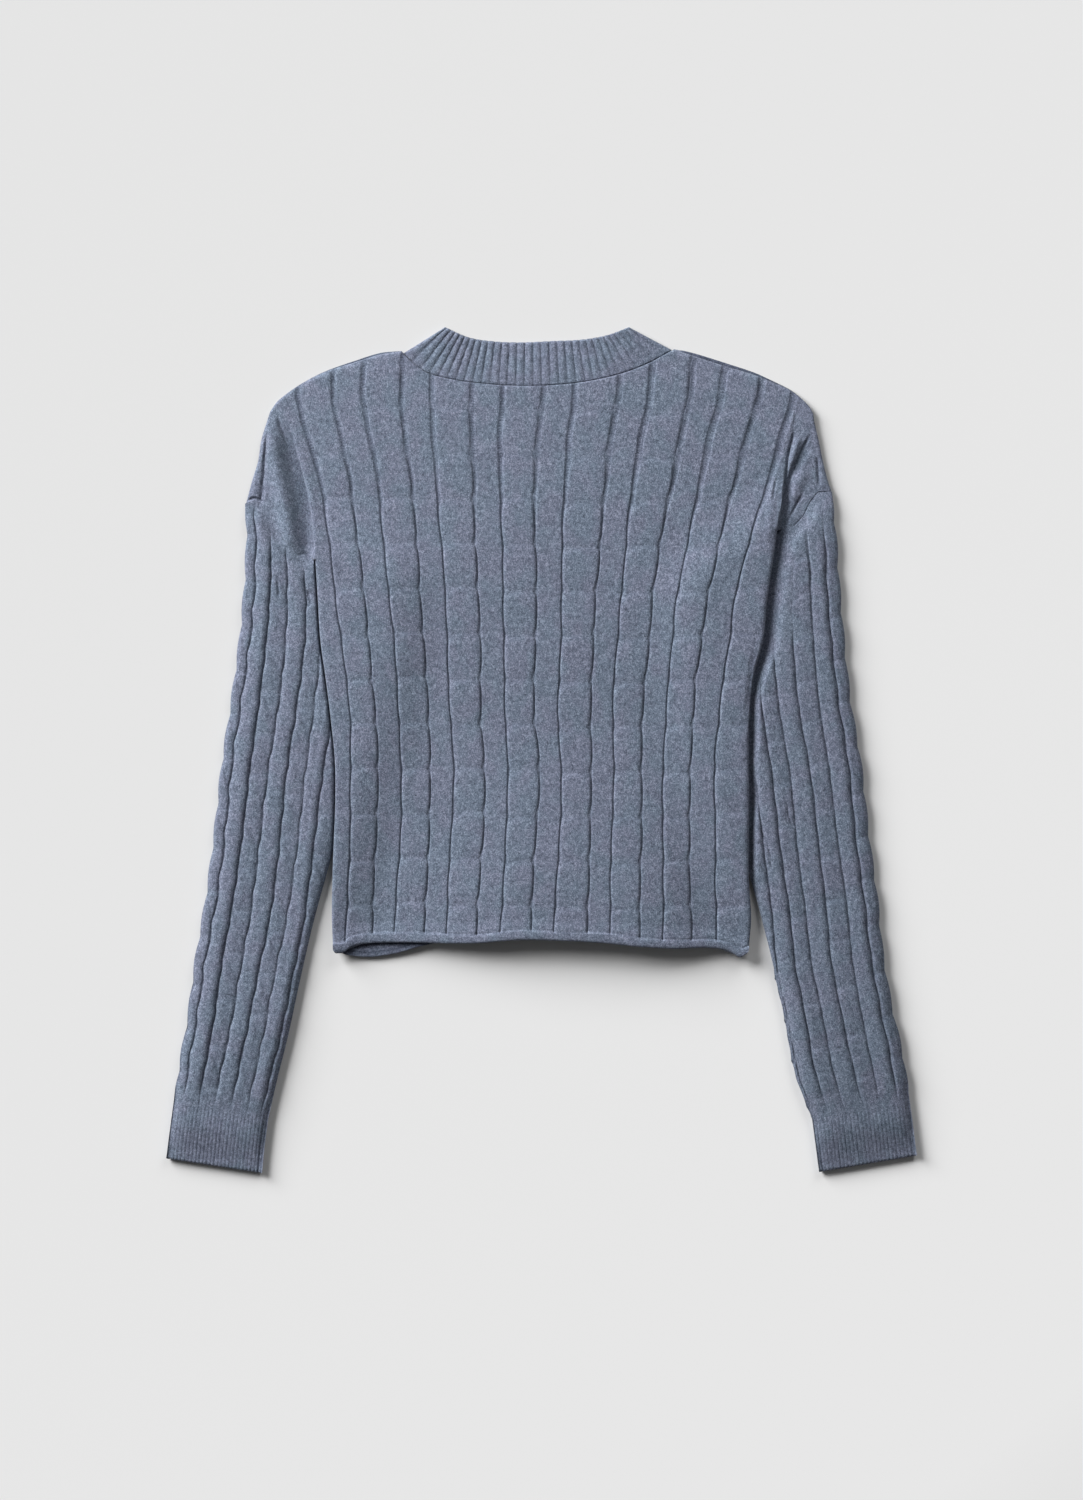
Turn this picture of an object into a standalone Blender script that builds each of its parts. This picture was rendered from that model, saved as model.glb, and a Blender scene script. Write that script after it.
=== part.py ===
"""A cropped cable-knit pullover, laid flat on its front with its back upwards.

+X runs to the right-hand side as it lies, +Y to the neck and +Z up from the surface it lies on.
Sizes and tables are in millimetres, and the meshes are built in metres.
The back panel and the sleeves carry cables and ribs; their insides and undersides are plain.
"""

from bisect import bisect_right
from collections import namedtuple

import bmesh
import bpy

for old in list(bpy.data.objects):
    bpy.data.objects.remove(old, do_unlink=True)

# ------------------------------------------------------------------ driving sizes
MM = 0.001
WELD = 1e-6                 # metres; corners closer than this are one corner

PLAIN_WALL = 2.0            # cloth with no relief
GROOVE_WALL = 1.3           # cloth at the bottom of a groove
RIB_RISE = 1.2              # a plain rib over its grooves
RIB_FLATNESS = 6            # how flat a rib's top is
CABLE_RISE = 1.45           # a cable's strand over its grooves
CROSSING_RISE = 0.25        # the strand in front, where two strands cross
CROSSING_DIP = 0.5          # the strand behind, where two strands cross
STRAND_HALF = 0.31          # half a strand, as a part of the cable's width
STRAND_SWING = 0.23         # a strand's distance from the cable's middle, as a part of its width
SWAP_LENGTH = 0.4           # the strands change places over this part of a repeat
CROSSING_REACH = 0.3        # one rises and one dips this far from a crossing, in repeats
LEAST_WALL = 1.05           # no fold makes the cloth thinner
LAYER_GAP = 0.5             # air between two layers that lie on each other
SEAM_GAP = 0.35             # air between two pieces at their seam
SLANT_GAP = 1.1             # the same along Y, where a seam slants
EDGE_ROUND = 1.3            # a cloth edge is rounded over this width
EDGE_SHARE = 0.55           # a rounded edge's thickness as a part of the cloth's
FRONT_CHAMFER = 0.6         # the front's upper edges are eased by this much

CABLE_REPEAT = 36.0         # from one crossing to the next
ROW_STEP = CABLE_REPEAT / 3
CROSSING_ROW = 128.0        # a row of crossings on the back
CABLE_PINCH = 1.2           # a cable's sides draw in where its strands cross
PINCH_REACH = 0.35          # how far from a crossing they do, in repeats
LOWEST_ROW = -136.0
ROW_COUNT = 31              # whole rows from the hem to the yoke
YOKE_ROWS = 6               # rows from the last whole row to the shoulders and the neck
HEAD_ROUNDS = 4             # rounds to find where a leaning column meets the top line
CABLE_COLUMNS = (0.2, 0.5, 0.8)     # columns of corners across a cable
RIB_COLUMNS = (0.2, 0.8)            # the same across a rib
FIRST_COLUMN = 0.1          # the one beside the left edge, across the first rib
LAST_COLUMN = 0.93          # the one beside the right edge, across the last cable
SIDE_RIB_SHARE = 0.8        # height of the knitting on the panel's sides, as a part of a rib's

SLEEVE_LIFT = 4.9           # the body's underside where it lies on a sleeve
LIFT_MARGIN = 2.0           # the body stays lifted this far past the sleeve's edge
SIDE_DRAPE = 17.0           # width over which the body comes down beside a sleeve
TOP_DRAPE = 30.0            # length over which it comes down above a sleeve
DRAPE_FOOT = 104.0          # the panels' insides have every row above this height
VALLEY = 10.0               # width of the valley between the shoulder and the body's fold
HEM_LIFT = 1.7              # the front hem's roll raises both panels
HEM_LIFT_START = 4.0        # the panels come down above this height over the hem
HEM_LIFT_LENGTH = 14.0      # over this length
HEM_ROLL = 4.7              # thickness of the rolled back hem
ROLL_SHARES = (0.36, 0.80, 1.0, 0.78, 0.30)     # its rows' parts of that, from the edge

SLEEVE_SLIT = 0.4           # air inside a flat sleeve at its edges
SLEEVE_CROWN = 1.5          # how much more air is in its middle
CROWN_FLATNESS = 4          # how flat its middle is
CROWN_ROWS = 4              # the air opens over these rows from each end
FOLD_HEIGHT = 1.9           # height of a tube's folded edge
SLIT_MARGIN = 2.6           # the slit ends this far inside a folded edge
SLEEVE_ROW = ROW_STEP
SLEEVE_EDGE_SHARE = 0.35    # height of the column beside the outer edge, as a part of a cable's
PRESSED_WALL = 1.5          # a sleeve's upper cloth where the body lies on it
TUBE_END_SHARE = 0.6        # an open end's thickness as a part of the cloth's
TAIL_COLUMNS = (0.35, 0.8)              # columns past the sleeve's last whole rib
UNDER_COLUMNS = (0.02, 0.76, 0.98)      # columns of its underside, besides the armhole's corners
PRESS_WIDTH = 9.0           # a sleeve fills out over this width beside the body
SEAM_FADE = 70.0            # length over which sleeve rows even out from the armhole

BAND_RIBS = 31              # ribs in the back of the neck band
BAND_END_GAP = 2.5          # the band ends this far inside the neck's seam
BAND_GROOVE_WALL = 1.1
BAND_RISE = 1.1
BAND_END_SHARE = 0.65       # its edges' thickness as a part of the cloth's
BAND_ROWS = (0.0, 0.06, 0.5, 0.94, 1.0)         # its rows, from the seam to the edge
BAND_UNDER_COUNT = 19       # columns of its front
BAND_FOLD = 0.012           # parts of its width: from a folded end to the first rib
BAND_SLIT_MARGIN = 0.022    # and to the end of the slit
BAND_DROOP = 1.4            # the back of the neck sinks where nothing is under it
DROOP_START = 0.07          # from this part x (1 - part) of the band's width
DROOP_REACH = 0.2           # over this much more of it
CUFF_RIBS = 24
CUFF_RISE = 0.7
CUFF_GROOVE_WALL = 1.5
CUFF_ROWS = (0.0, 0.06, 0.94, 1.0)              # a cuff's rows, from the seam to the edge
CUFF_UNDER_COLUMNS = (0.0, 0.03, 0.5, 0.97, 1.0)
CUFF_FOLD = 0.018           # parts of its width: from a folded edge to the first rib
CUFF_SLIT_MARGIN = 0.034    # and to the end of the slit

YARN_COLOUR = (0.166, 0.199, 0.266)
YARN_ROUGHNESS = 0.95

# ------------------------------------------------------------------ tables
# The back's columns of knitting from left to right, as wide as they lie at the waist.
Band = namedtuple("Band", "kind width")
BACK_BANDS = (
    Band("cable", 21.6),
    Band("rib", 18.4),
    Band("cable", 24.0),
    Band("rib", 17.6),
    Band("cable", 25.6),
    Band("rib", 18.4),
    Band("cable", 24.8),
    Band("rib", 17.6),
    Band("cable", 24.8),
    Band("rib", 16.8),
    Band("cable", 23.2),
    Band("rib", 16.8),
    Band("cable", 21.6),
    Band("rib", 19.2),
)
CENTRE_GROOVE = 7

# How the columns fan out towards the shoulders: the place of the centre groove, and the
# widths to its left and right as parts of the waist's.
Fan = namedtuple("Fan", "y centre left right")
FAN = (
    Fan(-155, -9, 0.985, 1.065),
    Fan(-136, -8, 0.985, 1.060),
    Fan(-104, -6, 0.990, 1.035),
    Fan(-72, -4, 0.990, 1.020),
    Fan(-40, -2, 1.000, 1.000),
    Fan(-8, -2, 1.000, 1.005),
    Fan(24, -5, 0.985, 1.050),
    Fan(56, -5, 1.005, 1.070),
    Fan(88, -4, 1.035, 1.100),
    Fan(120, -4, 1.065, 1.130),
    Fan(152, -4, 1.090, 1.190),
    Fan(184, -5, 1.115, 1.260),
    Fan(216, -4, 1.150, 1.330),
    Fan(248, -3, 1.215, 1.385),
    Fan(280, 1, 1.300, 1.430),
    Fan(312, 2, 1.305, 1.460),
)

# The body's folded sides: free edges below the armholes, soft folds above them.
Side = namedtuple("Side", "y left right")
BODY_SIDES = (
    Side(-155, -166.8, 166.0),
    Side(-136, -167.6, 167.6),
    Side(-104, -167.2, 165.8),
    Side(-72, -166.0, 165.6),
    Side(-40, -164.8, 166.0),
    Side(-8, -165.2, 165.6),
    Side(24, -168.4, 166.0),
    Side(56, -172.4, 168.8),
    Side(88, -176.8, 177.2),
    Side(120, -178.8, 180.4),
    Side(152, -180.8, 185.2),
    Side(184, -183.2, 189.6),
    Side(216, -188.4, 194.4),
    Side(248, -199.6, 199.6),
    Side(280, -207.6, 204.4),
)

Line = namedtuple("Line", "x y")
LEFT_SHOULDER = (
    Line(-217.2, 270.8),
    Line(-212.4, 278.0),
    Line(-207.6, 282.4),
    Line(-194.0, 292.0),
    Line(-175.6, 301.6),
    Line(-146.0, 311.4),
    Line(-130.0, 316.4),
    Line(-110.0, 319.6),
)
NECK_SEAM = (
    Line(-111.0, 318.0),
    Line(-96.4, 304.8),
    Line(-72.4, 296.9),
    Line(-47.6, 293.4),
    Line(-14.8, 291.4),
    Line(18.0, 292.8),
    Line(42.0, 296.1),
    Line(66.8, 302.4),
    Line(84.4, 309.2),
    Line(105.0, 320.4),
)
RIGHT_SHOULDER = (
    Line(104.0, 321.2),
    Line(146.0, 307.6),
    Line(170.8, 300.0),
    Line(184.0, 294.6),
    Line(200.4, 287.2),
    Line(211.6, 278.0),
    Line(215.6, 273.2),
    Line(217.6, 269.2),
)
BACK_HEM = (
    Line(-166.8, -162.6),
    Line(-158.0, -161.5),
    Line(-151.6, -157.2),
    Line(-136.4, -154.6),
    Line(-110.8, -154.0),
    Line(-54.8, -154.4),
    Line(-17.2, -151.6),
    Line(15.6, -152.2),
    Line(49.2, -154.0),
    Line(75.6, -156.8),
    Line(102.0, -158.6),
    Line(148.0, -160.0),
    Line(160.4, -165.6),
    Line(166.0, -162.8),
)
FRONT_HEM = (
    Line(-166.8, -160.0),
    Line(-157.0, -163.6),
    Line(-136.4, -165.6),
    Line(-116.0, -162.6),
    Line(-91.0, -155.6),
    Line(-70.0, -153.0),
    Line(-17.2, -150.6),
    Line(49.2, -153.0),
    Line(102.0, -157.6),
    Line(148.0, -159.0),
    Line(166.0, -161.8),
)
# The front reaches over the shoulders by this much, so its seams lie on the back.
FRONT_SHOULDER_REACH = (
    Line(-217.0, 0.0),
    Line(-180.0, 0.6),
    Line(-114.0, 1.4),
    Line(105.0, 2.8),
    Line(170.0, 2.4),
    Line(195.0, 0.8),
    Line(217.0, 0.0),
)
# The front neck's seam and edge: the front of the neck band lies between them.
FRONT_NECK_SEAM = (
    Line(-111.0, 318.0),
    Line(-95.0, 290.0),
    Line(-60.0, 259.0),
    Line(-4.0, 246.0),
    Line(52.0, 259.0),
    Line(88.0, 291.0),
    Line(105.0, 320.4),
)
FRONT_NECK_EDGE = (
    Line(-77.2, 338.4),
    Line(-66.0, 314.0),
    Line(-42.0, 294.0),
    Line(-4.0, 285.0),
    Line(34.0, 294.0),
    Line(58.0, 314.0),
    Line(70.0, 338.4),
)
BACK_NECK_EDGE = (
    Line(-77.2, 338.4),
    Line(-58.8, 330.4),
    Line(-38.0, 327.1),
    Line(-18.0, 326.3),
    Line(9.2, 327.4),
    Line(34.0, 328.7),
    Line(54.0, 332.4),
    Line(70.0, 338.4),
)

# The shoulder's outline outside the folds, from the armhole's notch to the shoulder's corner.
LEFT_OUTLINE = (
    Line(-236.4, 197.6),
    Line(-231.6, 215.6),
    Line(-226.8, 231.6),
    Line(-224.4, 247.6),
    Line(-219.6, 263.6),
    Line(-217.2, 270.8),
)
RIGHT_OUTLINE = (
    Line(232.0, 207.2),
    Line(229.2, 215.6),
    Line(225.2, 231.6),
    Line(222.0, 247.6),
    Line(218.4, 263.6),
    Line(217.6, 269.2),
)

# A sleeve's two folded edges, from the armhole to the cuff.
Station = namedtuple("Station", "outer_x outer_y inner_x inner_y")
LEFT_SLEEVE = (
    Station(-237.2, 197.2, -127.6, 131.6),
    Station(-236.4, 167.6, -128.4, 110.0),
    Station(-240.4, 103.6, -131.6, 70.0),
    Station(-248.4, 39.6, -142.8, 17.2),
    Station(-255.6, -8.4, -153.2, -26.0),
    Station(-262.8, -72.4, -168.4, -86.8),
    Station(-269.2, -120.4, -181.6, -134.8),
    Station(-277.2, -168.4, -192.8, -182.8),
    Station(-283.6, -216.4, -202.8, -229.2),
    Station(-289.2, -248.4, -210.8, -261.2),
    Station(-294.4, -282.8, -218.4, -294.0),
)
RIGHT_SLEEVE = (
    Station(232.4, 206.8, 129.2, 127.6),
    Station(235.6, 175.6, 129.2, 105.2),
    Station(239.6, 119.6, 130.8, 78.0),
    Station(247.6, 39.6, 139.6, 19.6),
    Station(255.6, -8.4, 150.0, -26.0),
    Station(262.8, -72.4, 163.6, -88.4),
    Station(269.2, -120.4, 175.6, -133.2),
    Station(273.2, -160.4, 185.6, -173.2),
    Station(279.6, -200.4, 194.8, -213.2),
    Station(290.0, -248.4, 203.6, -260.4),
    Station(294.8, -282.8, 216.4, -294.8),
)
LEFT_CUFF = (
    Station(-294.5, -283.2, -218.5, -294.4),
    Station(-297.4, -305.0, -221.4, -316.4),
    Station(-300.2, -326.8, -223.6, -338.4),
)
RIGHT_CUFF = (
    Station(294.9, -283.2, 216.5, -295.2),
    Station(297.6, -304.0, 219.2, -316.0),
    Station(300.2, -324.4, 222.0, -337.6),
)

# The armhole seams. across is a part of the sleeve's flat width, from its outer edge.
Armhole = namedtuple("Armhole", "across x y")
LEFT_ARMHOLE = (
    Armhole(0.00, -237.2, 197.2),
    Armhole(0.07, -230.0, 199.6),
    Armhole(0.13, -223.6, 196.4),
    Armhole(0.22, -213.2, 176.0),
    Armhole(0.39, -194.8, 156.4),
    Armhole(0.52, -180.8, 151.6),
    Armhole(1.00, -127.6, 131.6),
)
RIGHT_ARMHOLE = (
    Armhole(0.00, 232.4, 206.8),
    Armhole(0.11, 221.2, 206.4),
    Armhole(0.17, 214.4, 197.6),
    Armhole(0.22, 209.6, 187.2),
    Armhole(0.29, 202.4, 179.2),
    Armhole(0.42, 188.8, 175.6),
    Armhole(1.00, 129.2, 127.6),
)

# A sleeve's columns of knitting: how far from the outer edge each one ends.
SleeveBand = namedtuple("SleeveBand", "kind left_end right_end")
SLEEVE_BANDS = (
    SleeveBand("cable", 9.5, 11.0),
    SleeveBand("rib", 22.5, 25.5),
    SleeveBand("cable", 38.5, 42.0),
    SleeveBand("rib", 53.0, 58.0),
    SleeveBand("cable", 68.0, 72.0),
    SleeveBand("rib", 81.0, 85.5),
)
BANDED_WIDTH = 88.0         # a narrower sleeve draws its columns together
OUTER_COLUMNS = (("cable", 0.45), ("cable", 0.6))   # the two columns across the outer cable

# The largest folds of the back: three points, half a width and a height, below 0 for a trough.
Fold = namedtuple("Fold", "x0 y0 x1 y1 x2 y2 half_width rise")
FOLDS = (
    Fold(-219.0, 262.0, -221.5, 225.0, -224.0, 199.0, 4.0, -1.1),
    Fold(-207.0, 259.0, -192.0, 208.0, -184.0, 154.0, 7.0, -1.1),
    Fold(201.0, 252.0, 195.5, 234.0, 194.0, 214.0, 4.0, -1.2),
    Fold(215.0, 249.0, 206.0, 230.0, 194.5, 214.0, 4.0, -1.2),
    Fold(220.0, 236.0, 221.5, 222.0, 221.5, 209.0, 4.0, -0.8),
    Fold(-200.0, 240.0, -190.0, 216.0, -184.5, 172.0, 5.0, 0.5),
    Fold(197.0, 216.0, 192.0, 188.0, 186.0, 150.0, 4.5, 0.5),
)

FOLD_STEPS = 12             # a fold's curve is followed in these steps
FOLD_TAPER = 4              # how late a fold narrows towards its ends

# Which corners cross a body panel's plain side: columns from each side, and rows of the hem.
NEAR_SIDE_COLUMNS = (0, 2, 4, 6, 8, 11, 15)
MIDDLE_STEP = 9
HEM_KEPT_ROWS = (0, 3)

# ------------------------------------------------------------------ curves
def through(points):
    """A smooth function through (place, value) pairs, held straight beyond its ends."""
    places, values = zip(*sorted(points))
    last = len(places) - 1
    chords = [(values[n + 1] - values[n]) / (places[n + 1] - places[n]) for n in range(last)]
    slopes = [chords[0]]
    slopes += [(chords[n - 1] + chords[n]) / 2 for n in range(1, last)]
    slopes.append(chords[-1])

    def value_at(place):
        if place <= places[0]:
            return values[0] + (place - places[0]) * slopes[0]
        if place >= places[last]:
            return values[last] + (place - places[last]) * slopes[last]
        n = bisect_right(places, place) - 1
        span = places[n + 1] - places[n]
        t = (place - places[n]) / span
        start = values[n] * (1 + 2 * t) * (1 - t) ** 2 + span * slopes[n] * t * (1 - t) ** 2
        end = values[n + 1] * (3 - 2 * t) * t ** 2 - span * slopes[n + 1] * (1 - t) * t ** 2
        return start + end

    return value_at


def straight_through(points):
    """Straight lines through (place, value) pairs."""
    places, values = zip(*sorted(points))

    def value_at(place):
        n = min(max(bisect_right(places, place) - 1, 0), len(places) - 2)
        part = (place - places[n]) / (places[n + 1] - places[n])
        return values[n] + (values[n + 1] - values[n]) * part

    return value_at


def line(rows):
    """A height over x from a table of x and y."""
    return through([(row.x, row.y) for row in rows])


def smooth(t):
    """Eases from 0 to 1."""
    t = min(1.0, max(0.0, t))
    return t * t * (3 - 2 * t)


def between(start, end, part):
    return start + (end - start) * part


left_side = through([(row.y, row.left) for row in BODY_SIDES])
right_side = through([(row.y, row.right) for row in BODY_SIDES])
fan_centre = through([(row.y, row.centre) for row in FAN])
fan_left = through([(row.y, row.left) for row in FAN])
fan_right = through([(row.y, row.right) for row in FAN])
left_shoulder = line(LEFT_SHOULDER)
right_shoulder = line(RIGHT_SHOULDER)
neck_seam = line(NECK_SEAM)
back_hem = line(BACK_HEM)
front_hem = line(FRONT_HEM)
front_neck_seam = line(FRONT_NECK_SEAM)
shoulder_reach = line(FRONT_SHOULDER_REACH)
sleeve_inner_left = through([(row.inner_y, row.inner_x) for row in LEFT_SLEEVE])
sleeve_inner_right = through([(row.inner_y, row.inner_x) for row in RIGHT_SLEEVE])


def back_head(x):
    """The back's top line: shoulder, neck seam, shoulder."""
    if x < NECK_SEAM[0].x:
        return left_shoulder(x)
    if x > NECK_SEAM[-1].x:
        return right_shoulder(x)
    return neck_seam(x) - SLANT_GAP


def front_head(x):
    """The front's top line: shoulder, deep neck, shoulder."""
    if NECK_SEAM[0].x < x < NECK_SEAM[-1].x:
        return front_neck_seam(x) - SLANT_GAP
    return back_head(x) + max(0.0, shoulder_reach(x))


# ------------------------------------------------------------------ relief
def strand(across, centre):
    """A strand's round section, 1 on its centre line."""
    reach = abs(across - centre) / STRAND_HALF
    return max(0.0, 1 - reach ** 2) ** 0.5


def cable_rise(across, repeats):
    """Two strands that cross once in each repeat, the front one from upper left to lower right."""
    phase = repeats - round(repeats)
    swing = STRAND_SWING * (2 * smooth(phase / SWAP_LENGTH + 0.5) - 1)
    crossing = 1 - smooth(abs(phase) / CROSSING_REACH)
    front = strand(across, 0.5 + swing) * (CABLE_RISE + CROSSING_RISE * crossing)
    behind = strand(across, 0.5 - swing) * (CABLE_RISE - CROSSING_DIP * crossing)
    return max(front, behind)


def rib_rise(across):
    return RIB_RISE * (1 - abs(2 * across - 1) ** RIB_FLATNESS)


def knit_rise(kind, across, repeats):
    if kind == "cable":
        return cable_rise(across, repeats)
    return rib_rise(across)


def fold_rise(x, y):
    """The large folds' height at a place on the back."""
    total = 0.0
    for fold in FOLDS:
        nearest = fold.half_width
        for step in range(FOLD_STEPS + 1):
            t = step / FOLD_STEPS
            fold_x = fold.x0 * (1 - t) ** 2 + 2 * fold.x1 * t * (1 - t) + fold.x2 * t ** 2
            fold_y = fold.y0 * (1 - t) ** 2 + 2 * fold.y1 * t * (1 - t) + fold.y2 * t ** 2
            ends = 1 - abs(2 * t - 1) ** FOLD_TAPER
            apart = ((x - fold_x) ** 2 + (y - fold_y) ** 2) ** 0.5
            nearest = min(nearest, apart + fold.half_width * (1 - ends))
        total += fold.rise * (1 - smooth(nearest / fold.half_width))
    return total


# ------------------------------------------------------------------ heights of the body
def side_cover(x, y, sign, inner_edge, fold, armhole):
    """How far the body is lifted by one sleeve, from 0 to 1."""
    corner = armhole[-2]
    end = armhole[-1]
    past_edge = sign * (inner_edge(y) - x) - LIFT_MARGIN
    beside = 1 - smooth(past_edge / SIDE_DRAPE)
    end_part = (x - corner.x) / (end.x - corner.x)
    sleeve_top = between(corner.y, end.y, end_part) + LIFT_MARGIN
    above = 1 - smooth((y - sleeve_top) / TOP_DRAPE)
    outside_fold = sign * (x - fold(y))
    valley = 1 - smooth(outside_fold / VALLEY)
    return beside * above * valley


def body_base(x, y):
    """The underside of the front panel."""
    left = side_cover(x, y, -1, sleeve_inner_left, left_side, LEFT_ARMHOLE)
    right = side_cover(x, y, 1, sleeve_inner_right, right_side, RIGHT_ARMHOLE)
    return SLEEVE_LIFT * max(left, right)


def hem_lift(x, y):
    return HEM_LIFT * (1 - smooth((y - back_hem(x) - HEM_LIFT_START) / HEM_LIFT_LENGTH))


def front_top(x, y):
    return body_base(x, y) + PLAIN_WALL + hem_lift(x, y)


def back_inside(x, y):
    return front_top(x, y) + LAYER_GAP


# ------------------------------------------------------------------ mesh tools
def patch(bm, columns, rows, place, keep_columns=None, keep_rows=None):
    """A surface over a grid of corners, place(i, j). Only the kept columns and rows cross it,
    and its border keeps every corner."""
    wide = keep_columns or range(columns)
    tall = keep_rows or range(rows)
    corners = {}

    def corner(i, j):
        if (i, j) not in corners:
            corners[i, j] = bm.verts.new([value * MM for value in place(i, j)])
        return corners[i, j]

    for left, right in zip(wide, wide[1:]):
        for low, high in zip(tall, tall[1:]):
            along_low = range(left, right) if low == 0 else (left,)
            up_right = range(low, high) if right == columns - 1 else (low,)
            along_high = range(right, left, -1) if high == rows - 1 else (right,)
            down_left = range(high, low, -1) if left == 0 else (high,)
            ring = [corner(i, low) for i in along_low]
            ring += [corner(right, j) for j in up_right]
            ring += [corner(i, high) for i in along_high]
            ring += [corner(left, j) for j in down_left]
            bm.faces.new(ring)


def rim(bm, path, upper, lower):
    """Closes the edge between two surfaces along a path of grid corners."""
    patch(bm, len(path), 2, lambda n, side: (upper, lower)[side](*path[n]))


def make_piece(name, bm):
    """Welds the patches into one closed body with its own material."""
    bmesh.ops.remove_doubles(bm, verts=bm.verts, dist=WELD)
    bmesh.ops.triangulate(bm, faces=bm.faces, quad_method="FIXED", ngon_method="BEAUTY")
    bmesh.ops.recalc_face_normals(bm, faces=bm.faces)
    mesh = bpy.data.meshes.new(name)
    bm.to_mesh(mesh)
    bm.free()
    mesh.shade_smooth()
    material = bpy.data.materials.new(name + "_yarn")
    material.use_nodes = True
    shader = material.node_tree.nodes["Principled BSDF"]
    shader.inputs["Base Color"].default_value = (*YARN_COLOUR, 1.0)
    shader.inputs["Roughness"].default_value = YARN_ROUGHNESS
    shader.inputs["Metallic"].default_value = 0.0
    mesh.materials.append(material)
    piece = bpy.data.objects.new(name, mesh)
    bpy.context.scene.collection.objects.link(piece)
    return piece


# ------------------------------------------------------------------ the body's grid
def groove_offsets():
    """Each groove's place from the centre groove, at the waist."""
    places = [0.0]
    for band in BACK_BANDS:
        places.append(places[-1] + band.width)
    return [place - places[CENTRE_GROOVE] for place in places]


GROOVES = groove_offsets()
EDGE_BAND = Band("rib", None)           # between the left side and the first groove
LAST_BAND = Band("cable", None)         # between the last groove and the right side
BODY_BANDS = (EDGE_BAND,) + BACK_BANDS + (LAST_BAND,)


def repeats_at(y):
    return (CROSSING_ROW - y) / CABLE_REPEAT


def groove_x(number, y):
    """A groove's place at a height. A cable's grooves draw in at its crossings."""
    offset = GROOVES[number]
    spread = fan_left(y) if offset < 0 else fan_right(y)
    phase = repeats_at(y) - round(repeats_at(y))
    pinch = CABLE_PINCH * (1 - smooth(abs(phase) / PINCH_REACH))
    starts_cable = BODY_BANDS[number + 1].kind == "cable"
    return fan_centre(y) + offset * spread + (pinch if starts_cable else -pinch)


Column = namedtuple("Column", "band across")


def body_columns():
    """Every column of corners across the body, from the left side to the right side."""
    columns = [Column(0, 0.0), Column(0, FIRST_COLUMN)]
    last = len(BODY_BANDS) - 1
    for number, band in enumerate(BODY_BANDS):
        if number > 0:
            columns.append(Column(number, 0.0))
        inner = CABLE_COLUMNS if band.kind == "cable" else RIB_COLUMNS
        columns += [Column(number, across) for across in inner]
    columns += [Column(last, LAST_COLUMN), Column(last, 1.0)]
    return columns


COLUMNS = body_columns()


def column_x(column, y):
    last = len(BODY_BANDS) - 1
    start = left_side(y) if column.band == 0 else groove_x(column.band - 1, y)
    end = right_side(y) if column.band == last else groove_x(column.band, y)
    return between(start, end, column.across)


HEM_STEPS = (0.0, 1.2, 3.2, 5.4, 6.9, 9.5)
WHOLE_ROWS = [LOWEST_ROW + ROW_STEP * n for n in range(ROW_COUNT)]
ROWS = len(HEM_STEPS) + ROW_COUNT + YOKE_ROWS + 1


def row_heights(column, head, foot):
    """The heights of a column's corners, from the hem to its top."""
    x_foot = column_x(column, LOWEST_ROW)
    y_head = WHOLE_ROWS[-1]
    for _ in range(HEAD_ROUNDS):
        y_head = head(column_x(column, y_head))
    heights = [foot(x_foot) + step for step in HEM_STEPS]
    heights += WHOLE_ROWS
    yoke = y_head - EDGE_ROUND - WHOLE_ROWS[-1]
    heights += [WHOLE_ROWS[-1] + yoke * n / YOKE_ROWS for n in range(1, YOKE_ROWS + 1)]
    heights.append(y_head)
    return heights


def body_plan(head, foot):
    """The x and y of every corner of a body panel, by column and row."""
    plan = []
    for column in COLUMNS:
        heights = row_heights(column, head, foot)
        plan.append([(column_x(column, y), y) for y in heights])
    return plan


def row_at(y):
    """The number of the whole row at a height."""
    return len(HEM_STEPS) + round((y - LOWEST_ROW) / ROW_STEP)


LEFT_CORNER_ROW = row_at(LEFT_ARMHOLE[-2].y)
RIGHT_CORNER_ROW = row_at(RIGHT_ARMHOLE[-2].y)


def armhole_curves(armhole):
    """The armhole seam's x and y over its place across the sleeve."""
    seam_x = straight_through([(row.across, row.x) for row in armhole])
    seam_y = straight_through([(row.across, row.y) for row in armhole])
    return seam_x, seam_y


def shoulder_plan(fold, outline, armhole, head):
    """The x and y of the corners outside a body fold, from the fold to the outline."""
    seam_x, seam_y = armhole_curves(armhole)
    outline_x = line([Line(row.y, row.x) for row in outline])
    corner_across = armhole[-2].across
    knots = [row.across for row in reversed(armhole[:-1])]
    crossings = [knots[0], between(knots[0], knots[1], 0.5)] + knots[1:]
    rise = fold[-1][1] - fold[0][1]
    block = []
    for across in crossings:
        part = 1 - across / corner_across
        start = (seam_x(across), seam_y(across) + SLANT_GAP)
        column = []
        for fold_x, fold_y in fold:
            up = (fold_y - fold[0][1]) / rise
            outer_y = between(outline[0].y, outline[-1].y, up)
            fade = (1 - up) ** 2 if 0 < part < 1 else 0.0
            x = between(fold_x, outline_x(outer_y), part)
            y = between(fold_y, outer_y, part)
            x += (start[0] - between(fold[0][0], outline[0].x, part)) * fade
            y += (start[1] - between(fold[0][1], outline[0].y, part)) * fade
            column.append((x, y))
        if part > 0:
            column[-1] = (column[-1][0], head(column[-1][0]))
        block.append(column)
    return block


# ------------------------------------------------------------------ body panels
def hem_roll(row, plain):
    """The cloth's thickness over the rolled hem, by the row's number from the edge."""
    return ROLL_SHARES[row] * HEM_ROLL if row < len(ROLL_SHARES) else plain


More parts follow.
